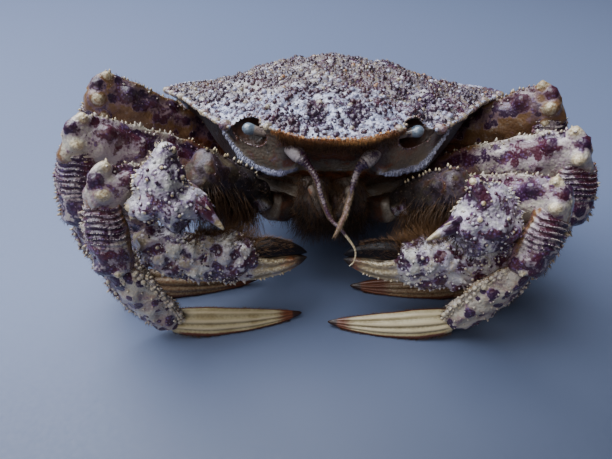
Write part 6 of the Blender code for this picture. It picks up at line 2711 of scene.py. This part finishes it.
@dataclass
class Studio:
    """The camera at the photograph's place, a pale floor and soft light."""

    height: float = 0.110
    place: tuple[float, float] = (-0.005058, -0.143858)
    pitch: float = 37.1
    lens: float = 29.12

    def build(self) -> None:
        """Makes the camera, the floor and the lights."""
        camera = bpy.data.cameras.new("camera")
        camera.lens = self.lens
        camera.sensor_width = 36.0
        camera.clip_start = 0.01
        holder = bpy.data.objects.new("camera", camera)
        holder.location = (*self.place, self.height)
        holder.rotation_euler = (math.radians(90 - self.pitch), 0.0, 0.0)
        bpy.context.scene.collection.objects.link(holder)
        bpy.context.scene.camera = holder
        self.build_floor()
        self.light("sky_panel", (-0.36, 0.17, 0.74), 0.9, 20.0, (0.90, 0.94, 1.0))
        self.light("front_panel", (-0.28, -0.50, 0.50), 0.5, 1.75, (1.0, 0.95, 0.92))
        world = bpy.data.worlds.new("studio")
        world.use_nodes = True
        back = world.node_tree.nodes["Background"]
        back.inputs["Color"].default_value = (0.86, 0.82, 0.82, 1.0)
        back.inputs["Strength"].default_value = 0.042
        bpy.context.scene.world = world

    def build_floor(self) -> None:
        """A wide pale floor just under the crab."""
        editor = bmesh.new()
        bmesh.ops.create_grid(editor, x_segments=1, y_segments=1, size=3.0)
        bmesh.ops.translate(editor, verts=editor.verts, vec=(0, 0, -0.0002))
        mesh = bpy.data.meshes.new("floor")
        editor.to_mesh(mesh)
        editor.free()
        floor = object_of("floor", mesh)
        floor.data.materials.append(finish_named("floor_finish"))

    def light(self, name: str, place: Sequence[float], size: float, power: float, colour: Colour) -> None:
        """One soft square light that faces the crab.

        Args:
            name: The name of the light.
            place: Where it hangs, in metres.
            size: The length of its sides, in metres.
            power: Its power in watts.
            colour: Its colour.
        """
        lamp = bpy.data.lights.new(name, "AREA")
        lamp.size = size
        lamp.energy = power
        lamp.color = colour
        holder = bpy.data.objects.new(name, lamp)
        holder.location = place
        aim = Vector((0.0, 0.0, 0.03)) - Vector(place)
        holder.rotation_euler = aim.to_track_quat("-Z", "Y").to_euler()
        bpy.context.scene.collection.objects.link(holder)


SHELL_PATCHES = (  # x, y, half width, half depth and strength of each purple patch
    (-4.3, -29.5, 3.0, 6.5, 1.0), (5.6, -31.0, 2.4, 7.5, 1.0), (-4.0, -21.0, 4.0, 3.0, 0.72),
    (13.0, -27.0, 2.6, 3.0, 0.62), (21.5, -25.0, 3.2, 3.4, 0.66), (-12.6, -33.6, 4.4, 2.8, 0.86),
    (-9.0, -19.0, 3.6, 3.0, 0.55), (29.0, -21.0, 4.0, 4.0, 0.55), (-22.0, -22.0, 3.6, 2.6, 0.58),
    (8.0, -18.0, 4.0, 3.5, 0.6), (0.0, -8.0, 6.0, 5.0, 0.56), (18.0, -9.0, 6.0, 6.0, 0.56),
    (-18.0, -6.0, 6.0, 5.0, 0.52), (34.0, -7.0, 6.0, 6.0, 0.55), (-32.0, 3.0, 6.0, 6.0, 0.5),
    (8.0, 10.0, 7.0, 6.0, 0.56), (-12.0, 18.0, 7.0, 7.0, 0.56), (24.0, 20.0, 7.0, 7.0, 0.56),
    (0.0, 34.0, 7.0, 7.0, 0.52), (-28.0, 26.0, 6.0, 6.0, 0.5),
)
SHELL_TEETH = (  # x and y on the left, radius and paint of each large tooth of the margin
    (16.9, -36.8, 1.1, Paint.TAN), (28.2, -30.6, 1.5, Paint.RUST), (31.6, -27.4, 0.9, Paint.TAN),
    (33.6, -25.2, 0.8, Paint.RUST), (35.6, -22.8, 1.1, Paint.TAN), (39.6, -17.2, 1.0, Paint.RUST),
    (42.0, -14.2, 0.9, Paint.TAN), (44.6, -11.0, 1.1, Paint.TAN), (47.4, -8.0, 0.9, Paint.CREAM),
    (50.2, -5.4, 1.2, Paint.TAN),
)
REAR_MERUS_MARKS = (
    (0.16, 20, 1.2), (0.22, 55, 1.3), (0.28, 5, 1.2), (0.33, 40, 1.5), (0.40, 70, 1.6), (0.44, 12, 1.2),
    (0.50, 38, 1.6), (0.58, 66, 2.0), (0.62, 14, 1.3), (0.74, 30, 1.5), (0.76, 70, 1.8), (0.90, 18, 1.4),
)
MERUS_MARKS = ((0.70, 56, 1.7), (0.99, 60, 1.6), (0.66, 12, 1.2), (0.90, 78, 1.3), (0.78, 20, 1.2))
MERUS_KNOBS = (
    (0.84, 46, 2.1, Paint.PURPLE), (0.955, 2, 1.7, Paint.CREAM), (0.985, 58, 1.5, Paint.PURPLE),
    (0.945, 84, 1.5, Paint.CREAM), (0.90, -36, 1.2, Paint.TAN), (0.97, 140, 1.3, Paint.PURPLE),
)
CARPUS_MARKS = ((0.62, 50, 1.6), (0.72, 12, 1.7), (0.80, 55, 1.4), (0.66, -18, 1.3), (0.86, -8, 1.4))
PROPODUS_MARKS = (
    (0.06, 20, 1.95), (0.14, 55, 2.21), (0.28, 58, 2.34), (0.42, 62, 1.95), (0.42, 20, 1.04),
    (0.56, 56, 1.95), (0.30, 4, 1.04), (0.70, 58, 1.95), (0.62, 12, 0.91), (0.84, 48, 2.08),
    (0.94, 20, 1.95), (0.95, -40, 1.56),
)
TOE_GROOVES = (  # angle, depth and width in degrees
    (8, 0.7, 9), (-32, 0.6, 8), (36, 0.35, 7), (150, 0.6, 9), (202, 0.5, 8),
)
ARM_MARKS = ((0.55, 40, 1.2), (0.68, 70, 1.4), (0.8, 30, 1.3), (0.9, 60, 1.5), (0.74, 0, 1.0))
WRIST_MARKS = (
    (-1.2, 9.0, 1.3), (3.6, 3.2, 1.1), (-0.6, -0.6, 1.0), (2.4, -1.6, 0.9), (5.6, -1.2, 0.8),
    (0.8, 5.4, 0.9),
)
LEFT_WRIST_MARKS = ((-3.4, 5.6, 3.4), (-3.6, 1.0, 1.8), (0.6, -2.2, 2.6), (3.8, 1.0, 1.2), (-4.6, -3.0, 1.3))
PALM_LUMPS = (
    (0.36, 52, 2.2), (0.44, 66, 2.0), (0.52, 58, 2.1), (0.60, 50, 1.7), (0.42, 26, 1.9), (0.52, 22, 1.8),
    (0.30, 14, 1.7), (0.22, 36, 1.8), (0.16, 2, 1.5), (0.60, 12, 1.5), (0.36, -8, 1.4),
)
PALM_MARKS = (
    (0.30, 40, 1.3), (0.48, 42, 1.5), (0.56, 34, 1.3), (0.64, 25, 1.7), (0.44, -16, 1.6),
    (0.24, -10, 1.8), (0.12, 24, 1.3), (0.34, -38, 1.6), (0.66, 60, 1.3), (0.54, -34, 1.7),
    (0.60, -8, 1.4),
)
PALM_SPINES = (  # angle, where each row starts and ends, how many, their height and their radius
    (-92, 0.04, 0.66, 26, 1.35, 0.55), (-72, 0.05, 0.66, 22, 1.1, 0.52), (-52, 0.05, 0.66, 19, 0.8, 0.5),
    (-30, 0.05, 0.64, 15, 0.6, 0.5), (-6, 0.08, 0.64, 12, 0.6, 0.52), (30, 0.12, 0.66, 11, 0.6, 0.55),
    (64, 0.2, 0.66, 11, 0.65, 0.6), (92, 0.24, 0.66, 12, 0.75, 0.55), (-84, 0.70, 0.90, 9, 0.6, 0.4),
    (-40, 0.70, 0.88, 7, 0.5, 0.36),
)
LEG_JOINTS = {
    Side.RIGHT: (
        ((-24, -19, 24), (-55.0, -53, 47.5), (-54.6, -57.5, 27.8), (-46, -54.4, 5.6), (-8.6, -47.6, 1.6)),
        ((-26, -7, 22.5), (-65.2, -37, 52.0), (-67.8, -41, 30.5), (-59, -38.5, 5.8), (-22, -32, 1.6)),
        ((-26, 5, 21.5), (-64.6, -19, 56.5), (-68.5, -22, 34), (-60, -19, 5.8), (-23, -14.5, 1.6)),
        ((-23, 16, 20.5), (-53, 17, 36), (-58, 22, 20), (-51, 26, 4.8), (-21, 33, 1.4)),
    ),
    Side.LEFT: (
        ((24, -19, 24), (52.0, -53, 44.0), (47.0, -57.5, 27.6), (34.7, -54.4, 5.8), (-1.0, -51.2, 1.6)),
        ((26, -7, 22.5), (62.6, -37, 48.0), (63.4, -41, 31), (46.5, -37.5, 5.8), (6.6, -36, 1.6)),
        ((26, 5, 21.5), (60.6, -19, 53.8), (63.5, -22, 32), (54, -19, 5.8), (17, -15.5, 1.6)),
        ((23, 16, 20.5), (52, 17, 36), (57, 22, 20), (50, 26, 4.8), (20, 33, 1.4)),
    ),
}
LEG_SCALES = (1.0, 1.08, 1.06, 0.84)
CLAW_JOINTS = {
    Side.RIGHT: {
        "hip": (-16, -28, 26), "elbow": (-35, -44, 49), "top": (-36.6, -50.0, 57.0),
        "bottom": (-41.0, -54.0, 36.4), "root": (-48.6, -49.2, 29.0), "knuckle": (-21.6, -47.0, 21.2),
        "tip": (-7.0, -45.4, 21.4), "spine": (-26.6, -57, 39.6),
    },
    Side.LEFT: {
        "hip": (16, -28, 26), "elbow": (33.8, -44, 43.5), "top": (33.6, -49.8, 51.4),
        "bottom": (38.0, -53.8, 31.2), "root": (46.6, -49.4, 24.8), "knuckle": (18.2, -47.0, 20.4),
        "tip": (3.0, -45.4, 20.6), "spine": (21.6, -57, 36.4),
    },
}
SHIELDS = {
    Side.RIGHT: (
        (1.8, 11.5), (0.6, 12.3), (-1.1, 11.2), (-2.4, 9.3), (-3.0, 7.1), (-3.6, 4.4), (-4.7, 2.0),
        (-7.0, 1.0), (-8.4, -0.8), (-8.8, -3.4), (-7.4, -5.4), (-5.6, -5.6), (-4.1, -6.5), (-2.6, -8.5),
        (-1.3, -9.9), (-0.2, -8.8), (1.2, -7.4), (3.3, -6.2), (5.2, -5.6), (7.7, -4.8), (9.7, -3.6),
        (9.9, -1.6), (8.8, 1.0), (7.7, 4.6), (6.0, 6.6), (4.7, 8.6), (3.1, 10.4),
    ),
    Side.LEFT: (
        (-4.1, 9.2), (-1.8, 8.9), (1.3, 7.6), (4.1, 6.1), (6.7, 3.7), (8.3, 1.0), (9.1, -1.7),
        (9.5, -4.2), (8.8, -6.9), (6.1, -8.6), (2.6, -9.8), (-0.1, -10.5), (-2.0, -11.6), (-3.4, -10.4),
        (-4.7, -7.8), (-6.4, -6.4), (-8.0, -5.4), (-8.8, -3.4), (-7.8, 0.3), (-5.8, 3.7), (-4.9, 5.9),
        (-4.9, 8.0),
    ),
}
PEARLS = {
    Side.RIGHT: (
        (-3.4, 5.2, 0.75), (3.6, 6.0, 0.5), (0.2, 8.6, 0.5), (-1.6, 3.0, 0.45), (4.6, -0.6, 0.45),
        (-3.0, -1.4, 0.5), (6.0, 1.6, 0.45),
    ),
    Side.LEFT: (
        (-2.4, 5.0, 0.72), (-3.0, 1.6, 0.75), (3.4, 1.6, 0.45), (-0.4, 7.0, 0.4), (5.6, -1.8, 0.45),
        (-0.6, -4.6, 0.45),
    ),
}
KNOBS = {
    Side.RIGHT: ((9.3, -2.0, 1.5), (8.9, -3.9, 1.0), (-1.7, 10.6, 1.0), (7.8, 3.6, 0.8), (6.9, 5.2, 0.7)),
    Side.LEFT: ((-4.4, 8.6, 1.1), (8.3, -6.2, 1.1), (8.9, 0.2, 0.7), (9.2, -3.6, 0.7)),
}
FEELERS = {
    Side.RIGHT: (
        (
            (-12.2, -33.6, 49.8), (-9.3, -37.7, 49.0), (-6.9, -39.4, 47.0), (-4.6, -41.4, 44.2),
            (-3.4, -44.0, 40.8), (-1.1, -46.8, 35.7), (1.9, -49.3, 33.4), (5.2, -51.5, 29.3),
            (5.2, -52.5, 26.1), (3.9, -53.0, 24.6),
        ),
        (1.9, 2.1, 1.05, 0.72, 0.58, 0.50, 0.42, 0.26, 0.18, 0.14),
    ),
    Side.LEFT: (
        (
            (11.6, -33.6, 48.8), (8.9, -37.7, 47.8), (6.2, -39.6, 46.0), (5.0, -41.4, 43.2),
            (3.9, -44.6, 40.6), (2.3, -49.2, 37.9), (-0.3, -53.3, 34.2),
        ),
        (1.9, 2.1, 1.05, 0.74, 0.58, 0.66, 0.26),
    ),
}


def main() -> None:
    """Builds the crab piece by piece, then the studio."""
    logging.basicConfig(level=logging.INFO, format="%(message)s")
    Studio().build()
    legs = [
        WalkingLeg(side, index + 1, joints, LEG_SCALES[index])
        for side in Side for index, joints in enumerate(LEG_JOINTS[side])
    ]
    claws = [
        Claw(side, CLAW_JOINTS[side], SHIELDS[side], PEARLS[side], KNOBS[side]) for side in Side
    ]
    Carapace().build()
    Underbody(legs, claws).build()
    Mouth().build()
    for side in Side:
        Eye(side).build()
        Feeler(side, *FEELERS[side]).build()
    for limb in (*legs, *claws):
        limb.build()


if __name__ == "__main__":
    main()
